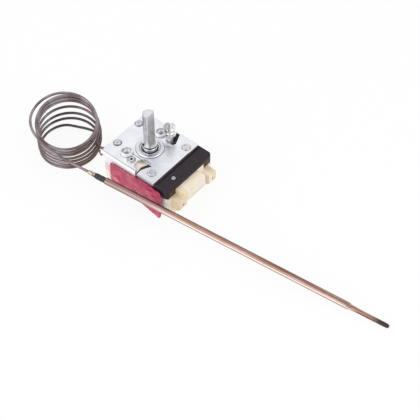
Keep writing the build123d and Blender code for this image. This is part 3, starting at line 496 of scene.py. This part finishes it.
# plain metals: light and dark tones, grain drawn along one way, dull patches and small pits
metals = {
    "turnedSteel": {
        "on": ("stop_disc", "bottom_cover_screws"), "light": (240, 238, 240), "dark": (176, 172, 174),
        "grain": (1.2, 1.2, 9), "rough": (0.2, 0.38), "bump": 0.006,
    },
    "springSteel": {
        "on": ("snap_ring", "friction_washer"), "light": (240, 239, 242), "dark": (186, 183, 187),
        "grain": (2, 2, 6), "rough": (0.18, 0.32), "bump": 0.004,
    },
    "barRivet": {
        "on": ("cover_bar_rivet",), "light": (196, 192, 197), "dark": (122, 117, 122),
        "grain": (3, 3, 3), "rough": (0.2, 0.4), "bump": 0.012,
    },
    "diaphragmSteel": {
        "on": ("diaphragm_capsule",), "light": (204, 202, 198), "dark": (140, 132, 124),
        "grain": (4, 0.6, 4), "rough": (0.25, 0.42), "bump": 0.006,
    },
    "contactBrass": {
        "on": ("contact_spring", "terminal_rivets"), "light": (214, 178, 104), "dark": (142, 106, 58),
        "grain": (0.4, 5, 5), "rough": (0.22, 0.42), "bump": 0.006,
    },
    "contactSilver": {
        "on": ("moving_contact", "fixed_contact"), "light": (226, 226, 224), "dark": (170, 164, 156),
        "grain": (5, 5, 5), "rough": (0.18, 0.34), "bump": 0.005,
    },
    "tinnedTerminal": {
        "on": ("moving_terminal", "fixed_terminal"), "light": (216, 212, 200), "dark": (158, 150, 132),
        "grain": (4, 0.5, 4), "rough": (0.24, 0.44), "bump": 0.006,
    },
}


def makeMetal(name, m):
    shader = shade(name)
    grain = shader.noise(1.5, 4, shader.stretched(m["grain"]))
    patches = shader.noise(0.35, 3)
    pits = shader.rise(shader.noise(4.5, 2), 0.62, 0.74)
    wear = shader.rise(patches * 0.6 + grain * 0.4, 0.35, 0.68)
    low, high = m["rough"]
    shader.dress(cad(*m["on"]), {
        "Base Color": shader.coats(m, "light", ("dark", wear * 0.55 + pits * 0.25)), "Metallic": 1.0,
        "Roughness": grain * (high - low) + low + pits * 0.12,
        "Normal": shader.bump(grain - pits * 0.5, m["bump"]),
    })


for name, m in metals.items():
    makeMetal(name, m)
print("plain metals dressed")


# finishes of one noise: the ground colour turns worn between two of its levels, as far as share says
finishes = {
    "tappedSteel": {
        "on": tappedThreads, "ground": (254, 253, 254), "worn": (206, 204, 206), "noise": (1.2, 3),
        "stretch": (1, 1, 1), "levels": (0.45, 0.7), "share": 1, "metal": 0.7, "rough": 0.3, "bump": 0.006,
    },
    "blackFibre": {
        "on": cad("plate_gasket"), "ground": (22, 20, 21), "worn": (52, 48, 47), "noise": (1.5, 4),
        "stretch": (0.8, 6, 6), "levels": (0.4, 0.7), "share": 1, "metal": 0, "rough": 0.6, "bump": 0.02,
    },
    "redStud": {
        "on": cad("film_studs"), "ground": (248, 128, 158), "worn": (206, 58, 96), "noise": (2, 3),
        "stretch": (1, 1, 1), "levels": (0.5, 0.75), "share": 0.4, "metal": 0, "rough": 0.25, "bump": 0.02,
    },
    "shrunkSleeve": {
        "on": [shrunkSleeve], "ground": (36, 32, 35), "worn": (84, 78, 82), "noise": (1.6, 3),
        "stretch": (1, 1, 1), "levels": (0.48, 0.7), "share": 0.6, "metal": 0, "rough": 0.24, "bump": 0.05,
    },
    "ferruleBrass": {
        "on": [brazedFerrule], "ground": (216, 206, 188), "worn": (128, 108, 90), "noise": (0.9, 3),
        "stretch": (1, 1, 1), "levels": (0.42, 0.6), "share": 1, "metal": 1, "rough": 0.24, "bump": 0.02,
    },
}


def makeFinish(name, f):
    shader = shade(name)
    wear = shader.noise(*f["noise"], shader.stretched(f["stretch"]))
    shader.dress(f["on"], {
        "Base Color": shader.coats(f, "ground", ("worn", shader.rise(wear, *f["levels"]) * f["share"])),
        "Metallic": f["metal"], "Roughness": wear * 0.2 + f["rough"], "Normal": shader.bump(wear, f["bump"]),
    })


for name, f in finishes.items():
    makeFinish(name, f)
print("threads, gasket, studs, sleeve and ferrule dressed")


# mounting plate: pressed and zinc plated, painted dark as shade in its punched walls, and as shade and grime
# in its steps. A ring is (inner radius, outer radius, softness, amount), and it is a dot where the inner
# radius is below zero.
# Turns are in degrees from X, and one turn gives the way from each thread to where painted shadow lies
plate = {
    # the dark colours here are painted shade, partly grime; the purple one is a painted reflection of the red
    # film, and the white one a painted highlight
    "light": (248, 248, 252), "cool": (236, 237, 244), "dull": (198, 197, 202), "shadeAndGrime": (46, 43, 45),
    "edge": (66, 62, 63), "white": (250, 249, 250), "shadowBlack": (26, 22, 24), "shaded": (166, 163, 166),
    "redReflection": (152, 82, 116), "rivet": (236, 235, 238), "rivetDull": (176, 174, 178),
    "spots": {
        "spindle": ((0, 0),), "threads": thread["spots"], "eyelet": ((-1.9, -11.8),),
        "domes": ((-15.3, 8.9), (-14.8, -7.8)), "flats": ((13.6, 11.9), (11.9, -12.2)),
    },
    "shadeAndGrimeRings": {
        "spindle": ((4.55, 4.75, 0.1, 0.8), (7.15, 7.5, 0.16, 0.5)),
        "threads": ((1.68, 2.0, 0.1, 0.5), (3.4, 3.6, 0.12, 0.3)),
        "domes": ((2.15, 2.4, 0.12, 0.5),), "flats": ((2.15, 2.4, 0.12, 0.5),),
        "eyelet": ((2.05, 2.35, 0.12, 0.6),),
    },
    "collarRings": {"spindle": ((-1, 7.1, 0.1, 0.3), (5.2, 5.45, 0.1, 0.4), (6.5, 6.7, 0.1, 0.25))},
    "rivetShadeAndGrimeRings": {
        "domes": ((1.62, 2.3, 0.14, 0.75), (-1, 0.7, 0.2, 0.3)),
        "flats": ((2.0, 2.4, 0.1, 0.45), (0.95, 1.2, 0.1, 0.3)),
        "eyelet": ((1.45, 1.8, 0.1, 0.9), (-1, 0.775, 0.075, 1)),
    },
    "half": 17.4, "front": -17.2, "fold": -16.25, "edgeHighlightEnd": 5.35, "redReflectionStart": 5.6, "shadeWay": 147.3,
    "screw": (4.2, 10.3), "window": (4.9, -11.2),
    "padFront": {"x": (-4.2, 5.6), "y": (-8.75, -8.3)},
    "padSide": {"start": (4.55, 4.67), "turn": 50.7, "half": 0.18, "length": 3.6},
    "keyholeShadow": {"foot": (6.6, 9.8), "turn": 113.3, "half": 0.95, "from": -1.2, "to": 4.6},
    "tongueShadow": {
        "slitX": 5.87, "slitEnd": -14.6, "end": -8.9, "bend": 0.04, "half": 0.4,
        "widenOver": 5.4, "widenBy": 1.5,
    },
}


def rings(shader, x, y, spots, table):
    # soft rings round upright lines, added up
    total = 0.0
    for name, bands in table.items():
        for spot in spots[name]:
            away = shader.fromLine(x, y, spot)
            for low, high, soft, amount in bands:
                total = total + shader.band(away, low, high, soft) * amount
    return total


def plateShadeAndGrime(shader, p, x, y, z):
    # painted shade, partly grime, lies at the foot of the collar, of each rim and of the raised pad, and
    # painted shadow behind the threads
    shadeAndGrime = rings(shader, x, y, p["spots"], p["shadeAndGrimeRings"]) + shader.band(z, 0.05, 0.24, 0.04) * 0.5
    for spot in p["spots"]["threads"]:
        shadeWay = shader.rise(shader.along(x, y, spot, p["shadeWay"]), -0.4, 0.9)
        shadeAndGrime = shadeAndGrime + shader.band(shader.fromLine(x, y, spot), 2.0, 2.7, 0.2) * shadeWay * 0.7
    uneven = shader.rise(shader.noise(0.8, 3), 0.2, 0.55)
    return shader.maths("MINIMUM", shadeAndGrime * uneven, 0.9)


def padShadeLines(shader, front, side, x, y):
    # painted shade: a dark line along the raised pad's front and one along its side by the calibration screw
    frontLine = shader.band(y, *front["y"], 0.1) * shader.band(x, *front["x"], 0.4)
    across = shader.along(x, y, side["start"], side["turn"] - 90)
    along = shader.along(x, y, side["start"], side["turn"])
    sideLine = shader.band(across, -side["half"], side["half"], 0.1)
    return frontLine + sideLine * shader.band(along, 0, side["length"], 0.3)


def plateWallShade(shader, p, x, y, z):
    # painted shade: sawn and punched walls inside the outline are darkened, apart from the threads, the
    # window and the screw's hole
    outline = p["half"] - 0.1, p["half"] - 0.3
    inside = shader.rise(shader.maths("ABSOLUTE", x), *outline)
    inside = inside * shader.rise(shader.maths("ABSOLUTE", y), *outline)
    hole = shader.rise(shader.fromLine(x, y, p["screw"]), 2.5, 2.25)
    bright = hole * shader.rise(y, p["screw"][1] + 1.2, p["screw"][1] + 0.6)
    bright = bright + shader.rise(shader.fromLine(x, y, p["window"]), 4.6, 4.3)
    for spot in p["spots"]["threads"]:
        bright = bright + shader.rise(shader.fromLine(x, y, spot), 1.9, 1.75)
    return inside * shader.rise(z, -0.06, -0.16) * (1 - shader.maths("MINIMUM", bright, 1.0))


def keyholeShadowStrip(shader, k, x, y):
    # painted shadow: a dark strip of the keyhole beside the calibration screw
    across = shader.maths("ABSOLUTE", shader.along(x, y, k["foot"], k["turn"] - 90))
    along = shader.along(x, y, k["foot"], k["turn"])
    return shader.rise(across, k["half"] + 0.1, k["half"] - 0.1) * shader.band(along, k["from"], k["to"], 0.2)


def tongueShadowStrip(shader, c, x, y):
    # painted shadow, black, along the tongue's edge: thin down the slit, then wider as it bends beside the
    # window
    beyond = y - c["slitEnd"]
    middle = beyond * beyond * c["bend"] + c["slitX"]
    reach = shader.rise(beyond, 0, c["widenOver"]) * c["widenBy"] + c["half"]
    outside = shader.maths("ABSOLUTE", x - middle) - reach
    return shader.rise(outside, 0.08, -0.08) * shader.rise(y, c["end"] + 0.2, c["end"] - 0.2)


def makePlate(p):
    shader = shade("zincPlate")
    x, y, z = shader.axes()
    drawn = shader.noise(1.3, 4, shader.stretched((0.25, 3.4, 3.4)))
    cloud = shader.noise(0.14, 3)
    spangle = shader.noise(0.9, 3)
    scratch = shader.rise(shader.noise(1.2, 2, shader.stretched((0.5, 7, 4)), 0.6), 0.64, 0.7)
    nearEnd = shader.rise(x - y * 0.6, 8, 26)
    # painted shade, partly grime, in the steps and at the feet of the rims
    shadeAndGrime = plateShadeAndGrime(shader, p, x, y, z)
    # painted shade on the punched walls
    wallShade = plateWallShade(shader, p, x, y, z)
    # painted shadow, black, along the tongue's edge and in the keyhole
    tongueShadow = tongueShadowStrip(shader, p["tongueShadow"], x, y)
    keyholeShadow = keyholeShadowStrip(shader, p["keyholeShadow"], x, y)
    shadowBlack = shader.maths("MAXIMUM", tongueShadow, keyholeShadow) * shader.rise(z, -0.4, -0.3)
    # right of the slit the edge is painted purple: a painted reflection of the red film, in shade
    redReflection = shader.rise(y, p["front"], p["front"] - 0.15) * shader.rise(z, 0.0, -0.12)
    redReflection = redReflection * shader.rise(x, p["redReflectionStart"] - 0.2, p["redReflectionStart"] + 0.2)
    # left of it a painted highlight, matt white, covers the turned down edge and the top's last strip, from a
    # painted shadow line, grey, on
    left = shader.rise(x, p["edgeHighlightEnd"] + 0.15, p["edgeHighlightEnd"] - 0.15)
    foldShadowLine = shader.band(y, p["fold"], p["fold"] + 0.4, 0.08) * left
    edgeHighlight = shader.rise(y, p["fold"], p["fold"] - 0.12) * left
    colour = shader.coats(
        p, "light",
        ("cool", shader.rise(cloud * 0.7 + drawn * 0.3, 0.36, 0.62)),
        ("dull", shader.rise(spangle, 0.55, 0.8) * 0.35 + scratch * 0.3 + nearEnd * 0.12),
        ("shadeAndGrime", shadeAndGrime),
        ("shadeAndGrime", padShadeLines(shader, p["padFront"], p["padSide"], x, y) * 0.62),
        ("dull", rings(shader, x, y, p["spots"], p["collarRings"])),
        ("edge", wallShade * 0.95), ("shadowBlack", shadowBlack), ("redReflection", redReflection * 0.85),
        ("shadeAndGrime", foldShadowLine * 0.5), ("white", edgeHighlight),
    )
    metal = (1.0 - shadeAndGrime * 0.4) * (1 - edgeHighlight * 0.9) * (1 - wallShade * 0.5) * (1 - shadowBlack) * (1 - redReflection * 0.8)
    shader.dress(cad("mounting_plate"), {
        "Base Color": colour, "Metallic": metal, "Roughness": drawn * 0.14 + 0.28 + shadeAndGrime * 0.3,
        "Normal": shader.bump(drawn * 0.6 + spangle * 0.4 - scratch * 0.6, 0.005),
    })


# rivets and eyelet: pressed tops, painted dark in their rims as shade and grime, and in the eyelet's hole as
# shade
def makeRivets(p):
    shader = shade("brightRivet")
    x, y = shader.axes("XY")
    dents = shader.noise(1.4, 3)
    uneven = shader.rise(shader.noise(0.6, 2), 0.3, 0.55) * 0.5 + 0.5
    rimShadeAndGrime = shader.maths("MINIMUM", rings(shader, x, y, p["spots"], p["rivetShadeAndGrimeRings"]) * uneven, 1.0)
    shader.dress(cad("plate_rivets", "hollow_eyelet"), {
        "Base Color": shader.coats(p, "rivet", ("rivetDull", shader.rise(dents, 0.4, 0.68)), ("shadeAndGrime", rimShadeAndGrime)),
        "Metallic": 1.0 - rimShadeAndGrime * 0.4, "Roughness": dents * 0.2 + 0.24 + rimShadeAndGrime * 0.2,
        "Normal": shader.bump(dents, 0.03),
    })


# calibration screw, its collar and its nut: plain bright steel, painted dark in its slot, grooves and steps
# as shade and dirt. A shaded place is (lower height, upper height, softness, radius where it begins, radius
# where it is full, amount)
calibration = {
    "light": (252, 251, 252), "soft": (214, 212, 214), "shaded": plate["shaded"], "shadeAndGrime": plate["shadeAndGrime"],
    "shadeAndDirt": {
        "slot": (9.0, 9.9, 0.1, 2.95, 2.85, 0.375), "neck": (7.25, 8.15, 0.08, 1.8, 1.6, 1),
        "collarGroove": (5.75, 6.08, 0.04, 2.55, 2.4, 0.8), "foot": (4.5, 4.8, 0.06, 1.7, 1.9, 1),
    },
    "headRim": (2.7, 3.0), "headTop": 10.1, "headFoot": 8.1, "nutTop": 4.7,
}


def makeScrewLook(c, screw):
    shader = shade("calibrationSteel")
    x, y, z = shader.axes()
    turning = shader.noise(1.0, 3, shader.stretched((0.5, 0.5, 9)))
    away = shader.fromLine(x, y, screw)
    # painted shade, partly dirt, at the head's top edge, in the slot, under the head, in the collar's groove
    # and at the foot
    shadeAndDirt = shader.band(away, *c["headRim"], 0.08) * shader.rise(z, c["headTop"], c["headTop"] + 0.15) * 0.45
    for low, high, soft, begins, full, amount in c["shadeAndDirt"].values():
        shadeAndDirt = shadeAndDirt + shader.band(z, low, high, soft) * shader.rise(away, begins, full) * amount
    shadeAndDirt = shader.maths("MINIMUM", shadeAndDirt, 1.0)
    # painted shade: the head is darker on its side towards the spindle, and in a ring inside its rim
    head = shader.rise(z, c["headFoot"], c["headFoot"] + 0.2)
    shaded = head * (shader.rise(x + y, 15.6, 13.6) * 0.6 + shader.band(away, 1.5, 2.1, 0.2) * 0.4)
    worn = shader.rise(turning, 0.42, 0.66)
    inNut = shader.rise(z, c["nutTop"], c["nutTop"] - 0.3)
    shader.dress(cad("calibration_screw", "calibration_collar"), {
        "Base Color": shader.coats(c, "light", ("soft", worn), ("shaded", shaded), ("shadeAndGrime", shadeAndDirt * 0.9)),
        "Metallic": 1.0 - shadeAndDirt * 0.4 - inNut * 0.35, "Roughness": turning * 0.14 + 0.2,
        "Normal": shader.bump(turning, 0.006),
    })


def makeNutLook(p):
    shader = shade("nutSteel")
    x, y = shader.axes("XY")
    turning = shader.noise(1.0, 3, shader.stretched((1, 1, 12)))
    worn = shader.rise(turning, 0.42, 0.66)
    # painted shadow of the keyhole, black
    shadowBlack = keyholeShadowStrip(shader, p["keyholeShadow"], x, y)
    shader.dress(cad("calibration_nut"), {
        "Base Color": shader.coats(p, "light", ("shaded", worn), ("shadowBlack", shadowBlack)),
        "Metallic": 1.0 - shadowBlack, "Roughness": turning * 0.18 + 0.18, "Normal": shader.bump(turning, 0.008),
    })


makePlate(plate)
makeRivets(plate)
makeScrewLook(calibration, plate["screw"])
makeNutLook(plate)
print("plate, rivets and calibration screw dressed")


# spindle: turned along its length, with a milled flat, its end painted bright as a highlight, and a dark band
# of painted shade and grease where it enters the bush
spindleLook = {
    "light": (212, 211, 220), "dark": (178, 175, 182), "shadedSide": (190, 189, 188), "end": (236, 235, 237),
    "greaseAndShade": (40, 38, 40), "top": 25.6, "greaseAndShadeBand": (2.6, 3.85), "lightToShadeWay": (0.77, 0.64),
    "bushLight": (246, 245, 247), "bushDark": (196, 193, 197),
}


def makeSpindle(s):
    shader = shade("turnedSpindle")
    x, y, z = shader.axes()
    turning = shader.noise(1.0, 3, shader.stretched((0.3, 0.3, 16)))
    tone = shader.rise(shader.noise(0.3, 3) * 0.6 + turning * 0.4, 0.4, 0.62)
    # painted light: a light streak left of the middle is a painted highlight, and a neutral grey right half
    # is painted shade
    across = x * s["lightToShadeWay"][0] + y * s["lightToShadeWay"][1]
    # painted highlight: the top end is painted bright, with darker rings on it
    top = shader.rise(z, s["top"] - 0.9, s["top"] - 0.6)
    r = shader.fromLine(x, y, (0, 0))
    topRings = shader.band(r, 1.5, 1.8, 0.15) * 0.35 + shader.rise(r, 2.25, 2.6) * 0.6
    # painted shade, partly grease, in a band where the spindle enters the bush
    greaseAndShadeBand = shader.band(z, *s["greaseAndShadeBand"], 0.1)
    colour = shader.coats(
        s, "light", ("dark", tone), ("shadedSide", shader.rise(across, -0.1, 0.3) * 0.7),
        ("end", shader.band(across, -1.0, -0.35, 0.15) * 0.75), ("end", top), ("dark", top * topRings),
        ("greaseAndShade", greaseAndShadeBand * 0.9),
    )
    shader.dress(cad("spindle"), {
        "Base Color": colour, "Metallic": 1.0 - greaseAndShadeBand * 0.5, "Roughness": turning * 0.14 + 0.26 + top * 0.3,
        "Normal": shader.bump(turning, 0.006),
    })


def makeBushLook(s):
    shader = shade("turnedBush")
    x, y, z = shader.axes()
    turning = shader.noise(1.2, 3, shader.stretched((0.4, 0.4, 10)))
    r = shader.fromLine(x, y, (0, 0))
    # painted shade, partly grease: dark at the bush's foot and inside its crown
    foot = shader.band(r, 3.7, 4.4, 0.05) * shader.rise(z, 1.0, 0.8)
    crown = shader.rise(z, 2.45, 2.6) * shader.rise(r, 3.8, 3.66)
    shadeAndDirt = shader.maths("MINIMUM", foot + crown, 1.0)
    worn = shader.rise(turning, 0.42, 0.66)
    shader.dress([turnedBush], {
        "Base Color": shader.coats(s, "bushLight", ("bushDark", worn), ("greaseAndShade", shadeAndDirt * 0.95)),
        "Metallic": 1.0 - shadeAndDirt * 0.5, "Roughness": turning * 0.14 + 0.18,
        "Normal": shader.bump(turning, 0.005),
    })


makeSpindle(spindleLook)
makeBushLook(spindleLook)
print("spindle and bush dressed")


# housing, push pin and bottom cover: unglazed cream ceramic, with warmer end posts
ceramic = {
    "face": (247, 236, 220), "warm": (238, 222, 190), "post": (236, 216, 178), "speck": (190, 162, 124),
    "edge": (253, 248, 240), "filmPinkLight": (246, 214, 220), "litWhite": (255, 255, 255),
    "filmPinkLightAt": (-14.6, -10.4), "filmPinkLightNarrow": 0.8, "wall": -16.0,
    "filmLeft": -13.6, "filmRight": 18, "wallRight": 25.6,
}


def makeCeramic(c):
    shader = shade("creamCeramic")
    x, y, z = shader.axes()
    cloud = shader.noise(0.22, 4)
    grit = shader.noise(5, 3)
    pits = shader.rise(shader.noise(2.6, 2), 0.68, 0.75)
    posts = shader.rise(x, 26.0, 26.6) * shader.rise(shader.maths("ABSOLUTE", y - 1.6), 8.6, 9.6)
    # on the wall behind the film, pink light through the film is painted beside its left end, and past its
    # ends the wall is painted white as a highlight
    wall = shader.rise(y, c["wall"], c["wall"] - 0.15)
    spotX, spotZ = c["filmPinkLightAt"]
    away = shader.fromLine(x * c["filmPinkLightNarrow"], z, (spotX * c["filmPinkLightNarrow"], spotZ))
    filmPinkLight = shader.rise(away, 4.4, 2.4) * wall
    pastLeft = shader.rise(x, c["filmLeft"], c["filmLeft"] - 0.8)
    pastRight = shader.band(x, c["filmRight"], c["wallRight"], 0.3)
    litWhite = shader.maths("MAXIMUM", pastLeft, pastRight) * wall * (1 - filmPinkLight)
    colour = shader.coats(
        c, "face", ("warm", shader.rise(cloud, 0.42, 0.66) * 0.5), ("post", posts * 0.8),
        ("speck", pits * 0.4), ("edge", shader.rise(grit, 0.58, 0.75) * 0.5),
        ("filmPinkLight", filmPinkLight * 0.7), ("litWhite", litWhite * 0.9),
    )
    shader.dress(cad("ceramic_housing", "push_pin", "bottom_cover"), {
        "Base Color": colour, "Roughness": grit * 0.2 + 0.55, "Normal": shader.bump(grit * 0.5 - pits, 0.03),
    })


# cover bar: black moulding with a dusty lip, painted brown low on its outer side, short of the ends, as a
# painted reflection of the cream housing in shade
moulding = {
    "face": (42, 35, 41), "dust": (72, 62, 68), "brown": (88, 58, 32), "lip": (0.05, 0.6), "sideTop": -1.6,
    "sideX": 24.0, "sideHalf": 15.6,
}


def makeMoulding(m):
    shader = shade("blackMoulding")
    x, y, z = shader.axes()
    cloud = shader.noise(0.3, 3)
    # painted reflection of the cream housing in shade: brown low on the outer side, short of the ends
    side = shader.rise(z, m["sideTop"], m["sideTop"] - 1.0) * shader.rise(x, m["sideX"], m["sideX"] + 1.2)
    side = side * shader.rise(shader.maths("ABSOLUTE", y), m["sideHalf"], m["sideHalf"] - 1.0)
    dusty = shader.rise(cloud, 0.5, 0.75) * 0.35 + shader.band(z, *m["lip"], 0.08) * 0.15
    shader.dress(cad("cover_bar"), {
        "Base Color": shader.coats(m, "face", ("dust", dusty), ("brown", side * 0.8)),
        "Roughness": cloud * 0.2 + 0.42, "Specular IOR Level": 0.25,
        "Normal": shader.bump(shader.noise(6, 3), 0.015),
    })


# washer: grey paper, pale behind a dark line on the spindle's side, with one bright spot, a painted
# highlight, and a dark painted shadow of the tongue beside its edge, which bends away from a corner
washerLook = {
    "paper": (208, 206, 192), "fibre": (184, 182, 168), "line": (96, 92, 90), "pale": (232, 231, 234),
    "dark": (28, 24, 25), "lineY": (-8.0, -7.75), "spot": (5.1, -8.9), "corner": (4.6, -11), "bend": 0.05,
    "darkEnd": -8.6,
}


def makeWasherLook(w):
    shader = shade("greyPaper")
    x, y = shader.axes("XY")
    fibres = shader.noise(1.0, 4)
    line = shader.band(y, *w["lineY"], 0.08)
    # painted highlight: one bright spot
    spot = shader.rise(shader.fromLine(x, y, w["spot"]), 0.7, 0.45)
    pale = shader.maths("MAXIMUM", shader.rise(y, w["lineY"][1], w["lineY"][1] + 0.1), spot)
    # painted shadow of the tongue, dark, beside its edge
    cornerX, cornerY = w["corner"]
    beside = x - (y - cornerY) * (y - cornerY) * w["bend"] - cornerX
    dark = shader.rise(beside, 0, 0.2) * shader.rise(y, w["darkEnd"], w["darkEnd"] - 0.3)
    colour = shader.coats(
        w, "paper", ("fibre", shader.rise(fibres, 0.4, 0.68)), ("line", line * 0.8),
        ("pale", pale), ("dark", dark),
    )
    shader.dress([windowWasher], {
        "Base Color": colour, "Roughness": fibres * 0.2 + 0.6, "Normal": shader.bump(fibres, 0.02),
    })


makeCeramic(ceramic)
makeMoulding(moulding)
makeWasherLook(washerLook)
print("mouldings and washer dressed")


# red film: clear to some light, with deeper and blotched parts, and painted shade making it darker towards
# its top
filmLook = {"bright": (228, 96, 132), "deep": (206, 58, 96), "blotchAndShade": (168, 40, 78), "upper": (-7, -3)}


def makeFilmLook(f):
    shader = shade("redFilm")
    slow = shader.noise(0.16, 3)
    blot = shader.rise(shader.noise(0.5, 2, shader.stretched((0.5, 1, 1.2))), 0.54, 0.62)
    # painted shade, darker towards the film's top
    upper = shader.rise(shader.axes("Z")[0], *f["upper"])
    deep = shader.rise(slow, 0.38, 0.6)
    shader.dress([redFilm], {
        "Base Color": shader.coats(f, "bright", ("deep", deep), ("blotchAndShade", blot * 0.75 + upper * 0.35)),
        "Roughness": slow * 0.15 + 0.24, "Alpha": 0.94 - slow * 0.14,
        "Normal": shader.bump(shader.noise(3, 2), 0.01),
    })


makeFilmLook(filmLook)
print("film dressed")


# copper bulb: lines drawn along it, brown on its upper side and lower edge as tarnish and painted shade, a
# painted highlight low on it, the crimped tip nearly black
copper = {
    "rose": (200, 166, 154), "mid": (168, 128, 111), "brown": (118, 88, 72), "pale": (250, 238, 230),
    "burntAndShade": (48, 36, 40), "grey": (152, 130, 131), "upperTurn": 34.6,
}


def makeCopper(c, b):
    shader = shade("drawnCopper")
    tip, along = bulbAxis(b)
    side, up = crossAxes(along)
    turn = np.radians(c["upperTurn"])
    upper = side * np.cos(turn) + up * np.sin(turn)  # square to the axis, to the bulb's back and top
    outer = up * np.cos(turn) - side * np.sin(turn)
    place = shader.node("VectorMath", {"operation": "SUBTRACT"}, {0: shader.place(), 1: tuple(tip)})

    def reach(axis):
        return shader.node("VectorMath", {"operation": "DOT_PRODUCT"}, {0: place, 1: tuple(axis)}, "Value")

    # length is 0 at the tip and below zero behind it, and high goes from -1 to 1 across the bulb
    length, high, front = reach(along), reach(upper) * (1 / b["radius"]), reach(outer)
    lines = shader.node("CombineXYZ", (), {0: length * 0.015, 1: high * 4.2, 2: front * 0.4})
    drawn = shader.noise(1.0, 2, lines)
    fine = shader.noise(2.6, 2, lines)
    worn = shader.rise(fine * 0.7 + shader.noise(0.13, 3) * 0.3, 0.42, 0.58)
    # brown along the upper side and the lower edge: tarnish and painted shade
    tarnishAndEdgeShade = shader.rise(high, 0.72, 0.9) * 0.8 + shader.rise(high, -0.84, -0.95) * 0.6
    # a painted highlight: a pale streak low on the barrel, fainter towards the sleeve
    highlightStreak = shader.rise(length, -145, -110) * 0.85 + 0.15
    highlightStreak = shader.band(high, -0.74, -0.36, 0.07) * highlightStreak * shader.rise(length, -16, -24)
    sooty = shader.rise(length + shader.noise(0.5, 2) * 4, -7.5, -3.0)
    # painted shade on the underside near the tip
    undersideShade = shader.rise(length, -18, -14) * shader.rise(high, -0.1, -0.4) * 0.7
    colour = shader.coats(
        c, "mid", ("rose", worn), ("grey", shader.rise(length, -95, -150) * 0.75),
        ("brown", shader.rise(drawn, 0.5, 0.62) * 0.75), ("brown", tarnishAndEdgeShade), ("pale", highlightStreak),
        ("burntAndShade", shader.maths("MAXIMUM", sooty * 0.9, undersideShade)),
    )
    shader.dress([drawnBulb], {
        "Base Color": colour, "Metallic": 1.0 - sooty * 0.4 - highlightStreak * 0.35, "Roughness": fine * 0.14 + 0.28,
        "Normal": shader.bump(fine * 0.5 + drawn * 0.5, 0.012),
    })


# capillary and filling stub: dull copper, painted darker as shade the lower the coil's back lies, browner on
# its right
tubeLook = {
    "light": (160, 150, 154), "dark": (122, 108, 109), "low": (66, 54, 56), "brown": (124, 102, 92),
    "speck": (82, 68, 66),
}


def makeTubeLook(t):
    shader = shade("agedTube")
    x, y, z = shader.axes()
    patches = shader.noise(0.09, 3)
    specks = shader.rise(shader.noise(1.6, 3), 0.58, 0.75)
    # painted shade: darker the lower the coil's back lies
    low = shader.rise(y, -15, -5) * shader.rise(z, 1, -15)
    brown = shader.rise(x, -40, -31) * shader.rise(z, -2, -8) * shader.rise(y, -4, -8)
    colour = shader.coats(
        t, "light", ("dark", shader.rise(patches, 0.4, 0.6)), ("low", low * 0.8), ("brown", brown * 0.6),
        ("speck", specks * 0.5),
    )
    shader.dress([tube, *cad("filling_stub")], {
        "Base Color": colour, "Metallic": 1.0, "Roughness": patches * 0.15 + 0.3 + specks * 0.15,
        "Normal": shader.bump(specks, 0.004),
    })


makeCopper(copper, bulb)
makeTubeLook(tubeLook)
print("bulb and tube dressed")


# floor, sky and lamps, in metres: the floor shows white and keeps part of the shadow
studio = {
    "floorColour": (0.92, 0.92, 0.92, 1), "floorHalf": 3, "floorGlow": 0.9,
    "skyColour": (0.985, 0.99, 1, 1), "zenith": 0.87, "middle": 1.0, "horizon": 0.86,
    "nearSide": 0.42, "nearElevation": 42,
    "lamps": (
        {"name": "frontLeftLamp", "at": (-0.2, -0.88, 0.6), "size": 1.1, "watts": 3.6},
        {"name": "rightLamp", "at": (0.9, -0.05, 0.5), "size": 0.9, "watts": 1.8},
    ),
}


def makeFloor(s, b):
    half, z = s["floorHalf"], b["floorZ"] * mm
    corners = [(-half, -half, z), (half, -half, z), (half, half, z), (-half, half, z)]
    mesh = bpy.data.meshes.new("paleFloor")
    mesh.from_pydata(corners, [], [(0, 1, 2, 3)])
    piece = bpy.data.objects.new("paleFloor", mesh)
    bpy.context.collection.objects.link(piece)
    shader = shade("paleFloor")
    kinds = ("Is Camera Ray", "Is Glossy Ray", "Is Transmission Ray")
    direct, glossy, through = [shader.node("LightPath", output=kind) for kind in kinds]
    seen = shader.maths("MINIMUM", direct + glossy + through, 1.0)
    matt = shader.node("BsdfDiffuse", (), {"Color": s["floorColour"]})
    white = shader.node("Emission", (), {"Color": (1, 1, 1, 1), "Strength": 1.0})
    mixed = shader.node("MixShader", (), {0: seen * s["floorGlow"], 1: matt, 2: white})
    shader.node("OutputMaterial", (), {"Surface": mixed})
    piece.data.materials.append(shader.owner)


def makeSky(s, c):
    # brightest half way up, and darker where the photographer stands
    world = bpy.data.worlds.new("studio")
    bpy.context.scene.world = world
    shader = Shader(world)
    way = shader.node("TexCoord", output="Generated")
    height = shader.node("SeparateXYZ", (), {0: way}, "Z")
    near = tuple(wayTo(c["azimuth"], s["nearElevation"]))
    facing = shader.node("VectorMath", {"operation": "DOT_PRODUCT"}, {0: way, 1: near}, "Value")
    level = shader.rise(height, -0.1, 0.6) * (s["middle"] - s["horizon"]) + s["horizon"]
    level = level + shader.rise(height, 0.75, 1.0) * (s["zenith"] - s["middle"])
    level = level * (1 - shader.rise(facing, 0.62, 0.95) * s["nearSide"])
    sky = shader.node("Background", (), {"Color": s["skyColour"], "Strength": level})
    shader.node("OutputWorld", (), {"Surface": sky})


def makeLamp(lamp):
    data = bpy.data.lights.new(lamp["name"], "AREA")
    data.shape = "DISK"
    data.size = lamp["size"]
    data.energy = lamp["watts"]
    piece = bpy.data.objects.new(lamp["name"], data)
    bpy.context.collection.objects.link(piece)
    piece.location = lamp["at"]
    piece.rotation_mode = "QUATERNION"
    piece.rotation_quaternion = (-Vector(lamp["at"])).to_track_quat("-Z", "Y")


makeFloor(studio, bulb)
makeSky(studio, camera)
for lamp in studio["lamps"]:
    makeLamp(lamp)
bpy.context.scene.view_settings.view_transform = "Standard"
print("floor, sky and lamps placed")

bpy.context.view_layer.update()
